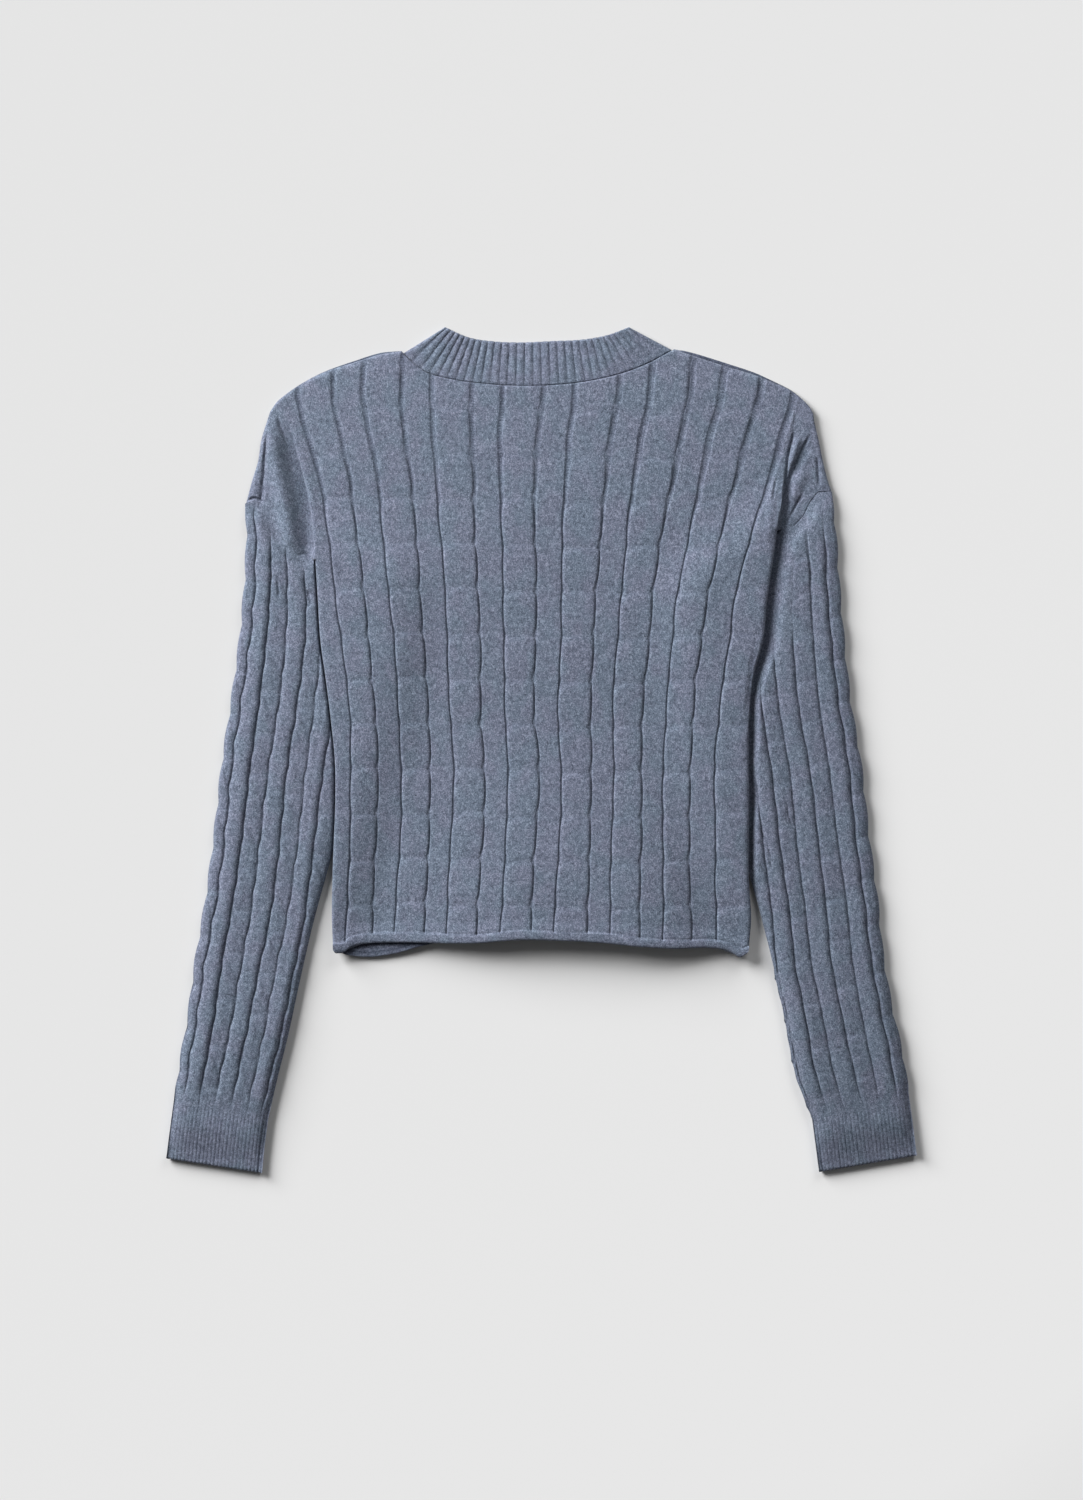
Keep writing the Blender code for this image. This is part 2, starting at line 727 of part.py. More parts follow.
def inside_columns():
    """The columns that cross a panel's plain side: close at its sides, wide in its middle."""
    last = len(COLUMNS) - 1
    near = list(NEAR_SIDE_COLUMNS)
    far = [last - n for n in reversed(near)]
    return near + [near[-1] + MIDDLE_STEP, far[0] - MIDDLE_STEP] + far


def inside_rows():
    """The rows that cross a panel's plain side."""
    hem = [*HEM_KEPT_ROWS, len(HEM_STEPS) - 1, len(HEM_STEPS)]
    low = range(hem[-1] + 1, row_at(DRAPE_FOOT), 2)
    high = range(row_at(DRAPE_FOOT), row_at(WHOLE_ROWS[-1]) + 1)
    yoke = [ROWS - 1 - YOKE_ROWS // 2, ROWS - 1]
    return hem + list(low) + list(high) + yoke


def on_free_side(i, j):
    """True on a body side below its armhole, where the panel ends."""
    on_left = i == 0 and j <= LEFT_CORNER_ROW
    on_right = i == len(COLUMNS) - 1 and j <= RIGHT_CORNER_ROW
    return on_left or on_right


def make_body_panel(name, head, foot, underside, wall, shoulder_wall, relief):
    """A body panel in three parts that share the corners along the two body folds."""
    bm = bmesh.new()
    plan = body_plan(head, foot)
    last = len(COLUMNS) - 1
    top_row = ROWS - 1
    keep_columns, keep_rows = inside_columns(), inside_rows()
    upper_keep = (None, None) if relief else (keep_columns, keep_rows)

    def upper(i, j):
        x, y = plan[i][j]
        return x, y, underside(x, y) + wall(i, j, x, y)

    def lower(i, j):
        x, y = plan[i][j]
        return x, y, underside(x, y)

    patch(bm, last + 1, ROWS, upper, *upper_keep)
    patch(bm, last + 1, ROWS, lower, keep_columns, keep_rows)
    rim(bm, [(i, 0) for i in range(last + 1)], upper, lower)
    rim(bm, [(i, top_row) for i in range(last + 1)], upper, lower)
    sides = (
        (0, LEFT_CORNER_ROW, LEFT_OUTLINE, LEFT_ARMHOLE),
        (last, RIGHT_CORNER_ROW, RIGHT_OUTLINE, RIGHT_ARMHOLE),
    )
    for fold, corner_row, outline, armhole in sides:
        rim(bm, [(fold, j) for j in range(corner_row + 1)], upper, lower)
        block = shoulder_plan(plan[fold][corner_row:], outline, armhole, head)
        columns, rows = len(block), len(block[0])

        def on_edge(i, j, columns=columns, rows=rows):
            return i == columns - 1 or j in (0, rows - 1)

        def shoulder_upper(i, j, block=block, fold=fold, corner_row=corner_row, on_edge=on_edge):
            if i == 0:
                return upper(fold, corner_row + j)
            x, y = block[i][j]
            return x, y, underside(x, y) + shoulder_wall(on_edge(i, j), x, y)

        def shoulder_lower(i, j, block=block, fold=fold, corner_row=corner_row):
            if i == 0:
                return lower(fold, corner_row + j)
            x, y = block[i][j]
            return x, y, underside(x, y)

        kept = [row - corner_row for row in keep_rows if row >= corner_row]
        patch(bm, columns, rows, shoulder_upper, None, None if relief else kept)
        patch(bm, columns, rows, shoulder_lower, None, kept)
        rim(bm, [(i, 0) for i in range(columns)], shoulder_upper, shoulder_lower)
        rim(bm, [(columns - 1, j) for j in range(rows)], shoulder_upper, shoulder_lower)
        rim(bm, [(i, rows - 1) for i in range(columns)], shoulder_upper, shoulder_lower)
    return make_piece(name, bm)


def back_wall(i, j, x, y):
    """The back's thickness at a corner of the body's grid."""
    column = COLUMNS[i]
    rise = knit_rise(BODY_BANDS[column.band].kind, column.across, repeats_at(y))
    if i in (0, len(COLUMNS) - 1):
        rise = RIB_RISE * SIDE_RIB_SHARE
    cloth = hem_roll(j, GROOVE_WALL + rise + fold_rise(x, y))
    if j == ROWS - 1 or on_free_side(i, j):
        cloth *= EDGE_SHARE
    return max(LEAST_WALL, cloth)


def back_shoulder_wall(on_edge, x, y):
    """The back's thickness outside a fold, where its columns roll over the shoulder."""
    cloth = GROOVE_WALL + RIB_RISE + fold_rise(x, y)
    return max(LEAST_WALL, cloth * (EDGE_SHARE if on_edge else 1.0))


def front_wall(i, j, x, y):
    """The plain front's thickness, with its hem rolled under."""
    on_edge = j in (0, ROWS - 1) or on_free_side(i, j)
    return PLAIN_WALL + hem_lift(x, y) - (FRONT_CHAMFER if on_edge else 0.0)


def front_shoulder_wall(on_edge, _x, _y):
    return PLAIN_WALL - (FRONT_CHAMFER if on_edge else 0.0)


def make_back_panel():
    heights = (back_inside, back_wall, back_shoulder_wall)
    return make_body_panel("back_panel", back_head, back_hem, *heights, True)


def make_front_panel():
    heights = (body_base, front_wall, front_shoulder_wall)
    return make_body_panel("front_panel", front_head, front_hem, *heights, False)


# ------------------------------------------------------------------ flat tubes
def flat_tube(bm, rows, upper, lower, slit_upper, slit_lower, counts, keep):
    """A flattened tube that is open at both ends. Each surface is place(i, j) over its own
    columns; the upper and lower ones meet along both folded edges, outside and in the slit."""
    upper_count, lower_count = counts
    upper_keep, lower_keep, keep_rows = keep
    patch(bm, upper_count, rows, upper)
    patch(bm, lower_count, rows, lower, lower_keep, keep_rows)
    patch(bm, upper_count, rows, slit_upper, upper_keep, keep_rows)
    patch(bm, lower_count, rows, slit_lower, lower_keep, keep_rows)
    for end in (0, rows - 1):
        rim(bm, [(i, end) for i in range(upper_count)], upper, slit_upper)
        rim(bm, [(i, end) for i in range(lower_count)], lower, slit_lower)


def station_curves(stations):
    """Smooth edge curves over the distance along a tube's outer edge, and its length."""
    reach = [0.0]
    for start, end in zip(stations, stations[1:]):
        step = ((end.outer_x - start.outer_x) ** 2 + (end.outer_y - start.outer_y) ** 2) ** 0.5
        reach.append(reach[-1] + step)
    curves = {}
    for name in Station._fields:
        curves[name] = through([(at, getattr(row, name)) for at, row in zip(reach, stations)])
    return curves, reach[-1]


def sleeve_columns(side):
    """Distances from the outer edge to the upper surface's columns, with each one's band."""
    columns = [(0.0, None, 0.0), (EDGE_ROUND, *OUTER_COLUMNS[0])]
    start = 0.0
    for band in SLEEVE_BANDS:
        end = band.left_end if side == "left" else band.right_end
        parts = CABLE_COLUMNS if band.kind == "cable" else RIB_COLUMNS
        if start == 0.0:
            parts = (OUTER_COLUMNS[1][1],)
        for part in parts:
            columns.append((between(start, end, part), band.kind, part))
        columns.append((end, "groove", 0.0))
        start = end
    return columns


def body_press(x, y, side):
    """0 where the body lies on a sleeve, 1 where the sleeve is free."""
    if side == "left":
        outside = left_side(y) - x
    else:
        outside = x - right_side(y)
    below_body = smooth((back_hem(x) + HEM_LIFT_LENGTH - y) / HEM_LIFT_LENGTH)
    return max(smooth(outside / PRESS_WIDTH), below_body)


SLEEVE_TABLES = {
    "left": (LEFT_SLEEVE, LEFT_ARMHOLE),
    "right": (RIGHT_SLEEVE, RIGHT_ARMHOLE),
}


def sleeve_width(edge):
    """The distance between the two folded edges at a station."""
    step_x = edge["inner_x"] - edge["outer_x"]
    step_y = edge["inner_y"] - edge["outer_y"]
    return (step_x ** 2 + step_y ** 2) ** 0.5


def make_sleeve(side):
    stations, armhole = SLEEVE_TABLES[side]
    curves, length = station_curves(stations)
    rows = round(length / SLEEVE_ROW) + 1
    banded = sleeve_columns(side)
    upper_count = len(banded) + len(TAIL_COLUMNS) + 1
    knots = [row.across for row in armhole]
    lower_parts = sorted(knots + list(UNDER_COLUMNS))
    seam_x, seam_y = armhole_curves(armhole)

    def place(part, j):
        """The plan of a point at a part of the sleeve's width."""
        edge = edge_at(j)
        x = between(edge["outer_x"], edge["inner_x"], part)
        y = between(edge["outer_y"], edge["inner_y"], part)
        first, last = armhole[0], armhole[-1]
        fade = max(0.0, 1 - length * j / (rows - 1) / SEAM_FADE) ** 2
        x += (seam_x(part) - between(first.x, last.x, part)) * fade
        y += (seam_y(part) - between(first.y, last.y, part)) * fade
        return x, y

    def edge_at(j):
        return {name: curve(length * j / (rows - 1)) for name, curve in curves.items()}

    widths = [sleeve_width(edge_at(j)) for j in range(rows)]

    def upper_column(i, j):
        """A column's part of the width, its kind of knitting and its place across the band."""
        squeeze = min(1.0, widths[j] / BANDED_WIDTH)
        if i < len(banded):
            reach, kind, across = banded[i]
            return reach * squeeze / widths[j], kind, across
        if i == upper_count - 1:
            return 1.0, None, 0.0
        start = banded[-1][0] * squeeze / widths[j]
        across = TAIL_COLUMNS[i - len(banded)]
        return between(start, 1.0, across), "cable", across

    seam_parts = [upper_column(i, 0)[0] for i in range(upper_count)]
    for knot in knots:
        nearest = min(range(upper_count), key=lambda i: abs(seam_parts[i] - knot))
        seam_parts[nearest] = knot

    def upper_part(i, j):
        """A column's part of the width. The armhole's corners are corners of the seam's row."""
        return seam_parts[i] if j == 0 else upper_column(i, j)[0]

    def crown(part, j):
        ends = smooth(j / CROWN_ROWS) * smooth((rows - 1 - j) / CROWN_ROWS)
        return SLEEVE_CROWN * ends * (1 - (2 * part - 1) ** CROWN_FLATNESS)

    def upper(i, j):
        _, kind, across = upper_column(i, j)
        part = upper_part(i, j)
        x, y = place(part, j)
        if kind is None:
            return x, y, FOLD_HEIGHT
        press = body_press(x, y, side)
        repeats = length * j / (rows - 1) / CABLE_REPEAT
        rise = 0.0 if kind == "groove" else knit_rise(kind, across, repeats)
        if i == 1:
            rise *= SLEEVE_EDGE_SHARE
        wall = between(PRESSED_WALL, GROOVE_WALL + rise, press)
        if j in (0, rows - 1):
            wall *= TUBE_END_SHARE
        return x, y, PLAIN_WALL + SLEEVE_SLIT + crown(part, j) * press + max(LEAST_WALL, wall)

    def lower(i, j):
        x, y = place(lower_parts[i], j)
        return x, y, FOLD_HEIGHT if i in (0, len(lower_parts) - 1) else 0.0

    def slit_place(part, j):
        """Points near a folded edge draw in, so that the slit ends inside the fold."""
        margin = SLIT_MARGIN / widths[j]
        inset = max(0.0, margin - part / 2) - max(0.0, margin - (1 - part) / 2)
        return place(part + inset, j)

    def slit_upper(i, j):
        part = upper_part(i, j)
        x, y = slit_place(part, j)
        press = body_press(x, y, side)
        gap = 0.0 if i in (0, upper_count - 1) else SLEEVE_SLIT + crown(part, j) * press
        return x, y, PLAIN_WALL + gap

    def slit_lower(i, j):
        x, y = slit_place(lower_parts[i], j)
        return x, y, PLAIN_WALL

    keep_rows = sorted(set(range(0, rows, 3)) | {1, rows - 1})
    upper_keep = sorted(set(range(0, upper_count, 5)) | {1, upper_count - 2, upper_count - 1})
    lower_count = len(lower_parts)
    lower_keep = [0, 1, lower_count // 2, lower_count - 2, lower_count - 1]
    bm = bmesh.new()
    counts, keep = (upper_count, lower_count), (upper_keep, lower_keep, keep_rows)
    flat_tube(bm, rows, upper, lower, slit_upper, slit_lower, counts, keep)
    return make_piece("sleeve_" + side, bm)


def make_cuff(side):
    """A ribbed cuff, as a flat tube whose upper side is ribbed."""
    stations = LEFT_CUFF if side == "left" else RIGHT_CUFF
    curves, length = station_curves(stations)
    rows = len(CUFF_ROWS)
    upper_count = 2 * CUFF_RIBS + 3
    lower_parts = CUFF_UNDER_COLUMNS
    slit_margin = CUFF_SLIT_MARGIN

    def place(part, j):
        edge = {name: curve(length * CUFF_ROWS[j]) for name, curve in curves.items()}
        x = between(edge["outer_x"], edge["inner_x"], part)
        y = between(edge["outer_y"], edge["inner_y"], part)
        return x, y

    def upper_part(i):
        if i in (0, upper_count - 1):
            return i / (upper_count - 1)
        return between(CUFF_FOLD, 1 - CUFF_FOLD, (i - 1) / (upper_count - 3))

    def upper(i, j):
        x, y = place(upper_part(i), j)
        if i in (0, upper_count - 1):
            return x, y, FOLD_HEIGHT
        wall = CUFF_GROOVE_WALL + (CUFF_RISE if i % 2 == 0 else 0.0)
        if j in (0, rows - 1):
            wall *= TUBE_END_SHARE
        return x, y, PLAIN_WALL + SLEEVE_SLIT + max(LEAST_WALL, wall)

    def lower(i, j):
        x, y = place(lower_parts[i], j)
        return x, y, FOLD_HEIGHT if i in (0, len(lower_parts) - 1) else 0.0

    def slit_upper(i, j):
        x, y = place(between(slit_margin, 1 - slit_margin, upper_part(i)), j)
        gap = 0.0 if i in (0, upper_count - 1) else SLEEVE_SLIT
        return x, y, PLAIN_WALL + gap

    def slit_lower(i, j):
        x, y = place(between(slit_margin, 1 - slit_margin, lower_parts[i]), j)
        return x, y, PLAIN_WALL

    keep_columns = [0, 1, upper_count // 2, upper_count - 2, upper_count - 1]
    bm = bmesh.new()
    counts = (upper_count, len(lower_parts))
    keep = (keep_columns, None, None)
    flat_tube(bm, rows, upper, lower, slit_upper, slit_lower, counts, keep)
    return make_piece("cuff_" + side, bm)


# ------------------------------------------------------------------ neck band
def make_neck_band():
    """The ribbed neck band: its back is upwards and its front lies deeper, under the back."""
    back_edge = line(BACK_NECK_EDGE)
    front_edge = line(FRONT_NECK_EDGE)
    rows = len(BAND_ROWS)
    upper_count = 2 * BAND_RIBS + 3
    lower_count = BAND_UNDER_COUNT
    seam_left = NECK_SEAM[0].x + BAND_END_GAP
    seam_right = NECK_SEAM[-1].x - BAND_END_GAP
    edge_left, edge_right = BACK_NECK_EDGE[0].x, BACK_NECK_EDGE[-1].x
    slit_margin = BAND_SLIT_MARGIN

    def place(part, up, seam, edge):
        seam_x = between(seam_left, seam_right, part)
        edge_x = between(edge_left, edge_right, part)
        return between(seam_x, edge_x, up), between(seam(seam_x) + SEAM_GAP, edge(edge_x), up)

    def spread(i, count):
        """Evenly spaced columns between the two folded ends."""
        if i in (0, count - 1):
            return i / (count - 1)
        return between(BAND_FOLD, 1 - BAND_FOLD, (i - 1) / (count - 3))

    def droop(part, j):
        middle = smooth((part * (1 - part) - DROOP_START) / DROOP_REACH)
        return BAND_DROOP * smooth(BAND_ROWS[j]) * middle

    def upper(i, j):
        part = spread(i, upper_count)
        x, y = place(part, BAND_ROWS[j], neck_seam, back_edge)
        if i in (0, upper_count - 1):
            return x, y, FOLD_HEIGHT
        wall = BAND_GROOVE_WALL + (BAND_RISE if i % 2 == 0 else 0.0)
        if j in (0, rows - 1):
            wall *= BAND_END_SHARE
        return x, y, PLAIN_WALL + LAYER_GAP + max(LEAST_WALL, wall) - droop(part, j)

    def lower(i, j):
        part = spread(i, lower_count)
        x, y = place(part, BAND_ROWS[j], front_neck_seam, front_edge)
        if i in (0, lower_count - 1):
            x, y = place(part, BAND_ROWS[j], neck_seam, back_edge)
            return x, y, FOLD_HEIGHT
        return x, y, 0.0

    def slit_upper(i, j):
        part = between(slit_margin, 1 - slit_margin, spread(i, upper_count))
        x, y = place(part, BAND_ROWS[j], neck_seam, back_edge)
        gap = 0.0 if i in (0, upper_count - 1) else LAYER_GAP
        return x, y, PLAIN_WALL + gap - droop(part, j)

    def slit_lower(i, j):
        part = between(slit_margin, 1 - slit_margin, spread(i, lower_count))
        if i in (0, lower_count - 1):
            x, y = place(part, BAND_ROWS[j], neck_seam, back_edge)
        else:
            x, y = place(part, BAND_ROWS[j], front_neck_seam, front_edge)
        return x, y, PLAIN_WALL

    keep_columns = sorted(set(range(0, upper_count, 4)) | {1, upper_count - 2, upper_count - 1})
    bm = bmesh.new()
    counts = (upper_count, lower_count)
    keep = (keep_columns, None, None)
    flat_tube(bm, rows, upper, lower, slit_upper, slit_lower, counts, keep)
    return make_piece("neck_band", bm)


# ------------------------------------------------------------------ the garment
def centre_on_origin(pieces):
    """Moves the whole garment so that its box stands on the origin, centred."""
    corners = [vertex.co for piece in pieces for vertex in piece.data.vertices]
    low = [min(corner[axis] for corner in corners) for axis in range(3)]
    high = [max(corner[axis] for corner in corners) for axis in range(3)]
    shift = [-(low[0] + high[0]) / 2, -(low[1] + high[1]) / 2, -low[2]]
    for corner in corners:
        for axis in range(3):
            corner[axis] += shift[axis]


PIECES = [
    make_front_panel(),
    make_back_panel(),
    make_sleeve("left"),
    make_sleeve("right"),
    make_cuff("left"),
    make_cuff("right"),
    make_neck_band(),
]
centre_on_origin(PIECES)
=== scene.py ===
"""A cropped cable-knit pullover, laid flat with its back upwards.

Each cut piece is a thin shell of knitted cloth on the form of its solid. Sizes and tables are
in millimetres, in the garment's own frame: +X to the right as it lies, +Y to the neck, +Z up.
"""

import math
from collections import namedtuple

import bmesh
import bpy
import numpy as np
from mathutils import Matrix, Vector


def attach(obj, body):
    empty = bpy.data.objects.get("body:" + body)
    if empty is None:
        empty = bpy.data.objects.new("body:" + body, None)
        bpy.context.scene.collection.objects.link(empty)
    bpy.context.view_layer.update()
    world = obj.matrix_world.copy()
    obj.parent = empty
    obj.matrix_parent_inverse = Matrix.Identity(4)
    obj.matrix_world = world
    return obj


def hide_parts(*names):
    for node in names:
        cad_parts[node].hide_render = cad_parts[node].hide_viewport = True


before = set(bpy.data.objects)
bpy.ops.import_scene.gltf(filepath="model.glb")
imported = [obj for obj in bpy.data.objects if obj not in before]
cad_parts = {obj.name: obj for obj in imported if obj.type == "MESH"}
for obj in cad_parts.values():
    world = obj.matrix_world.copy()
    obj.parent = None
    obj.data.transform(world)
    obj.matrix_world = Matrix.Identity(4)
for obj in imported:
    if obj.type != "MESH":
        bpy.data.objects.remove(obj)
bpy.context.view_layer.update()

# ------------------------------------------------------------------ driving sizes
MM = 0.001
WELD = 1e-6                 # metres; corners closer than this are one corner
SHARP_TURN = math.radians(72)   # a cut edge turns more than this, and a soft one less
FAR = 99.0                  # a distance that no edge is within

PLAIN_WALL = 2.0            # the front panel's cloth where it is plain
CLOTH = 1.2                 # the back's cloth at the bottom of a groove
EDGE_WALL, LEAST_WALL = 0.5, 0.45       # what is left of it at a round edge, and anywhere
LAYER_GAP = 0.5             # air between two layers that lie on each other
SEAM_GAP = 0.06             # air along a seam
NECK_GAP = 0.04             # between the back's head and its neck band
SLANT_GAP = 0.5             # what is added where the seam slants
CABLE_REPEAT = 36.0         # from one crossing of a cable to the next
UNDER_GROOVE = 0.8          # how far the grooves rise where the knit is pressed on the surface
SEAM_SHADE = 0.50           # the shade painted into the pits along the neck seam

# Slow waves: how far they go, how long they are, and how they shift from one band to the next.
Wave = namedtuple("Wave", "size length shift")
GROOVE_WAVE = Wave(0.45, 23.0, 2.1)         # the body's grooves, to either side
CROSSING_WAVE = Wave(0.035, 29.0, 1.9)      # the body's crossings along a cable, in repeats
CROSSING_LAG = Wave(0.05, 1.0, 2.7)         # the same from one cable to the next
SLEEVE_WAVE = Wave(0.5, 37.0, 1.9)          # a sleeve's grooves, to either side
SLEEVE_CROSSING_WAVE = Wave(0.06, 23.0, 2.2)


# ------------------------------------------------------------------ tables
def table(row, values):
    """Rows with named columns."""
    return tuple(row(*each) for each in values)


# How high a rib and a cable stand over their grooves and how wide their edges round down, how
# far a cable's edges draw in at a crossing, how deep the line is between its strands, and how
# much it swells between two crossings.
Knit = namedtuple("Knit", "rib rib_round cable cable_round inset_left inset_right twist bulge")
BODY_KNIT = Knit(1.15, 1.4, 1.3, 2.1, 1.7, 2.5, 0.0, 0.42)
LEFT_KNIT = Knit(2.6, 4.2, 1.4, 2.6, 1.4, 2.0, 0.7, 0.5)
RIGHT_KNIT = Knit(2.5, 4.0, 1.8, 2.6, 1.3, 1.8, 0.5, 0.45)

Band = namedtuple("Band", "kind width")
BACK_BANDS = table(Band, (
    ("cable", 21.6), ("rib", 18.4), ("cable", 24.0), ("rib", 17.6), ("cable", 25.6),
    ("rib", 18.4), ("cable", 24.8), ("rib", 17.6), ("cable", 24.8), ("rib", 16.8),
    ("cable", 23.2), ("rib", 16.8), ("cable", 21.6), ("rib", 19.2),
))
CENTRE_GROOVE = 7           # the groove that the others are measured from

# The centre groove's x at a height, and how far the others spread on its left and right.
Fan = namedtuple("Fan", "y centre left right")
FAN = table(Fan, (
    (-155, -9, 0.985, 1.065), (-136, -8, 0.985, 1.060), (-104, -6, 0.990, 1.035),
    (-72, -4, 0.990, 1.020), (-40, -2, 1.000, 1.000), (-8, -2, 1.000, 1.005),
    (24, -5, 0.985, 1.050), (56, -5, 1.005, 1.070), (88, -4, 1.035, 1.100),
    (120, -4, 1.065, 1.130), (152, -4, 1.090, 1.190), (184, -5, 1.115, 1.260),
    (216, -4, 1.150, 1.330), (248, -3, 1.215, 1.385), (280, 1, 1.300, 1.430),
    (312, 2, 1.305, 1.460),
))

# The body's two folded or seamed sides.
Side = namedtuple("Side", "y left right")
BODY_SIDES = table(Side, (
    (-155, -166.8, 166.0), (-136, -167.6, 167.6), (-104, -167.2, 165.8), (-72, -166.0, 165.6),
    (-40, -164.8, 166.0), (-8, -165.2, 165.6), (24, -168.4, 166.0), (56, -172.4, 168.8),
    (88, -176.8, 177.2), (120, -178.8, 180.4), (152, -180.8, 185.2), (184, -183.2, 189.6),
    (216, -188.4, 194.4), (248, -199.6, 199.6), (280, -207.6, 204.4),
))

Line = namedtuple("Line", "x y")
LEFT_SHOULDER = table(Line, (
    (-217.2, 270.8), (-212.4, 278.0), (-207.6, 282.4), (-194.0, 292.0), (-175.6, 301.6),
    (-146.0, 311.4), (-130.0, 316.4), (-110.0, 319.6),
))
NECK_SEAM = table(Line, (
    (-111.0, 318.0), (-96.4, 304.8), (-72.4, 296.9), (-47.6, 293.4), (-14.8, 291.4),
    (18.0, 292.8), (42.0, 296.1), (66.8, 302.4), (84.4, 309.2), (105.0, 320.4),
))
RIGHT_SHOULDER = table(Line, (
    (104.0, 321.2), (146.0, 307.6), (170.8, 300.0), (184.0, 294.6), (200.4, 287.2),
    (211.6, 278.0), (215.6, 273.2), (217.6, 269.2),
))
BACK_HEM = table(Line, (
    (-166.8, -162.6), (-158.0, -161.5), (-151.6, -157.2), (-136.4, -154.6), (-110.8, -154.0),
    (-54.8, -154.4), (-17.2, -151.6), (15.6, -152.2), (49.2, -154.0), (75.6, -156.8),
    (102.0, -158.6), (148.0, -160.0), (160.4, -165.6), (166.0, -162.8),
))
FRONT_HEM = table(Line, (
    (-166.8, -160.0), (-157.0, -163.6), (-136.4, -165.6), (-116.0, -162.6), (-91.0, -155.6),
    (-70.0, -153.0), (-17.2, -150.6), (49.2, -153.0), (102.0, -157.6), (148.0, -159.0),
    (166.0, -161.8),
))
FRONT_SHOULDER_REACH = table(Line, (
    (-217.0, 0.0), (-180.0, 0.6), (-126.0, 1.4), (-112.0, 0.3), (105.0, 0.5), (117.0, 2.2),
    (170.0, 2.2), (195.0, 0.8), (217.0, 0.0),
))
FRONT_NECK_SEAM = table(Line, (
    (-111.0, 318.0), (-95.0, 290.0), (-60.0, 259.0), (-4.0, 246.0), (52.0, 259.0), (88.0, 291.0),
    (105.0, 320.4),
))
FRONT_NECK_EDGE = table(Line, (
    (-77.2, 338.4), (-66.0, 314.0), (-42.0, 294.0), (-4.0, 285.0), (34.0, 294.0), (58.0, 314.0),
    (70.0, 338.4),
))
BACK_NECK_EDGE = table(Line, (
    (-77.2, 338.4), (-58.8, 330.4), (-38.0, 327.1), (-18.0, 326.3), (9.2, 327.4), (34.0, 328.7),
    (54.0, 332.4), (70.0, 338.4),
))
LEFT_OUTLINE = table(Line, (
    (-236.4, 197.6), (-231.6, 215.6), (-226.8, 231.6), (-224.4, 247.6), (-219.6, 263.6),
    (-217.2, 270.8),
))
RIGHT_OUTLINE = table(Line, (
    (232.0, 207.2), (229.2, 215.6), (225.2, 231.6), (222.0, 247.6), (218.4, 263.6),
    (217.6, 269.2),
))

Station = namedtuple("Station", "outer_x outer_y inner_x inner_y")
LEFT_SLEEVE = table(Station, (
    (-237.2, 197.2, -127.6, 131.6), (-236.4, 167.6, -128.4, 110.0), (-240.4, 103.6, -131.6, 70.0),
    (-248.4, 39.6, -142.8, 17.2), (-255.6, -8.4, -153.2, -26.0), (-262.8, -72.4, -168.4, -86.8),
    (-269.2, -120.4, -181.6, -134.8), (-277.2, -168.4, -192.8, -182.8),
    (-283.6, -216.4, -202.8, -229.2), (-289.2, -248.4, -210.8, -261.2),
    (-294.4, -282.8, -218.4, -294.0),
))
RIGHT_SLEEVE = table(Station, (
    (232.4, 206.8, 129.2, 127.6), (235.6, 175.6, 129.2, 105.2), (239.6, 119.6, 130.8, 78.0),
    (247.6, 39.6, 139.6, 19.6), (255.6, -8.4, 150.0, -26.0), (262.8, -72.4, 163.6, -88.4),
    (269.2, -120.4, 175.6, -133.2), (273.2, -160.4, 185.6, -173.2),
    (279.6, -200.4, 194.8, -213.2), (290.0, -248.4, 203.6, -260.4),
    (294.8, -282.8, 216.4, -294.8),
))
LEFT_CUFF = table(Station, (
    (-294.4, -282.86, -218.4, -294.06), (-297.4, -305.0, -221.4, -316.4),
    (-300.2, -326.8, -223.6, -338.4),
))
RIGHT_CUFF = table(Station, (
    (294.8, -282.86, 216.4, -294.86), (297.6, -304.0, 219.2, -316.0),
    (300.2, -324.4, 222.0, -337.6),
))

Armhole = namedtuple("Armhole", "across x y")
LEFT_ARMHOLE = table(Armhole, (
    (0.00, -237.2, 197.2), (0.07, -230.0, 199.6), (0.13, -223.6, 196.4), (0.22, -213.2, 176.0),
    (0.39, -194.8, 156.4), (0.52, -180.8, 151.6), (1.00, -127.6, 131.6),
))
RIGHT_ARMHOLE = table(Armhole, (
    (0.00, 232.4, 206.8), (0.11, 221.2, 206.4), (0.17, 214.4, 197.6), (0.22, 209.6, 187.2),
    (0.29, 202.4, 179.2), (0.42, 188.8, 175.6), (1.00, 129.2, 127.6),
))

# The grooves along each sleeve: the kind of knitting outside each, how far it lies from the
# outer edge, how far from the armhole seam it begins, and how strong it is.
SleeveGroove = namedtuple("SleeveGroove", "kind place start strength")
LEFT_GROOVES = table(SleeveGroove, (
    ("cable", 9.5, -20.0, 0.80), ("rib", 22.5, 6.0, 1.00), ("cable", 38.5, 0.0, 0.70),
    ("rib", 53.0, 10.0, 0.80), ("cable", 68.0, 10.0, 0.45), ("rib", 81.0, 10.0, 0.80),
))
RIGHT_GROOVES = table(SleeveGroove, (
    ("cable", 11.0, 20.0, 1.00), ("rib", 25.5, 34.0, 0.50), ("cable", 42.0, 90.0, 0.85),
    ("rib", 58.0, 60.0, 0.55), ("cable", 72.0, 30.0, 1.00), ("rib", 85.5, 10.0, 0.70),
))

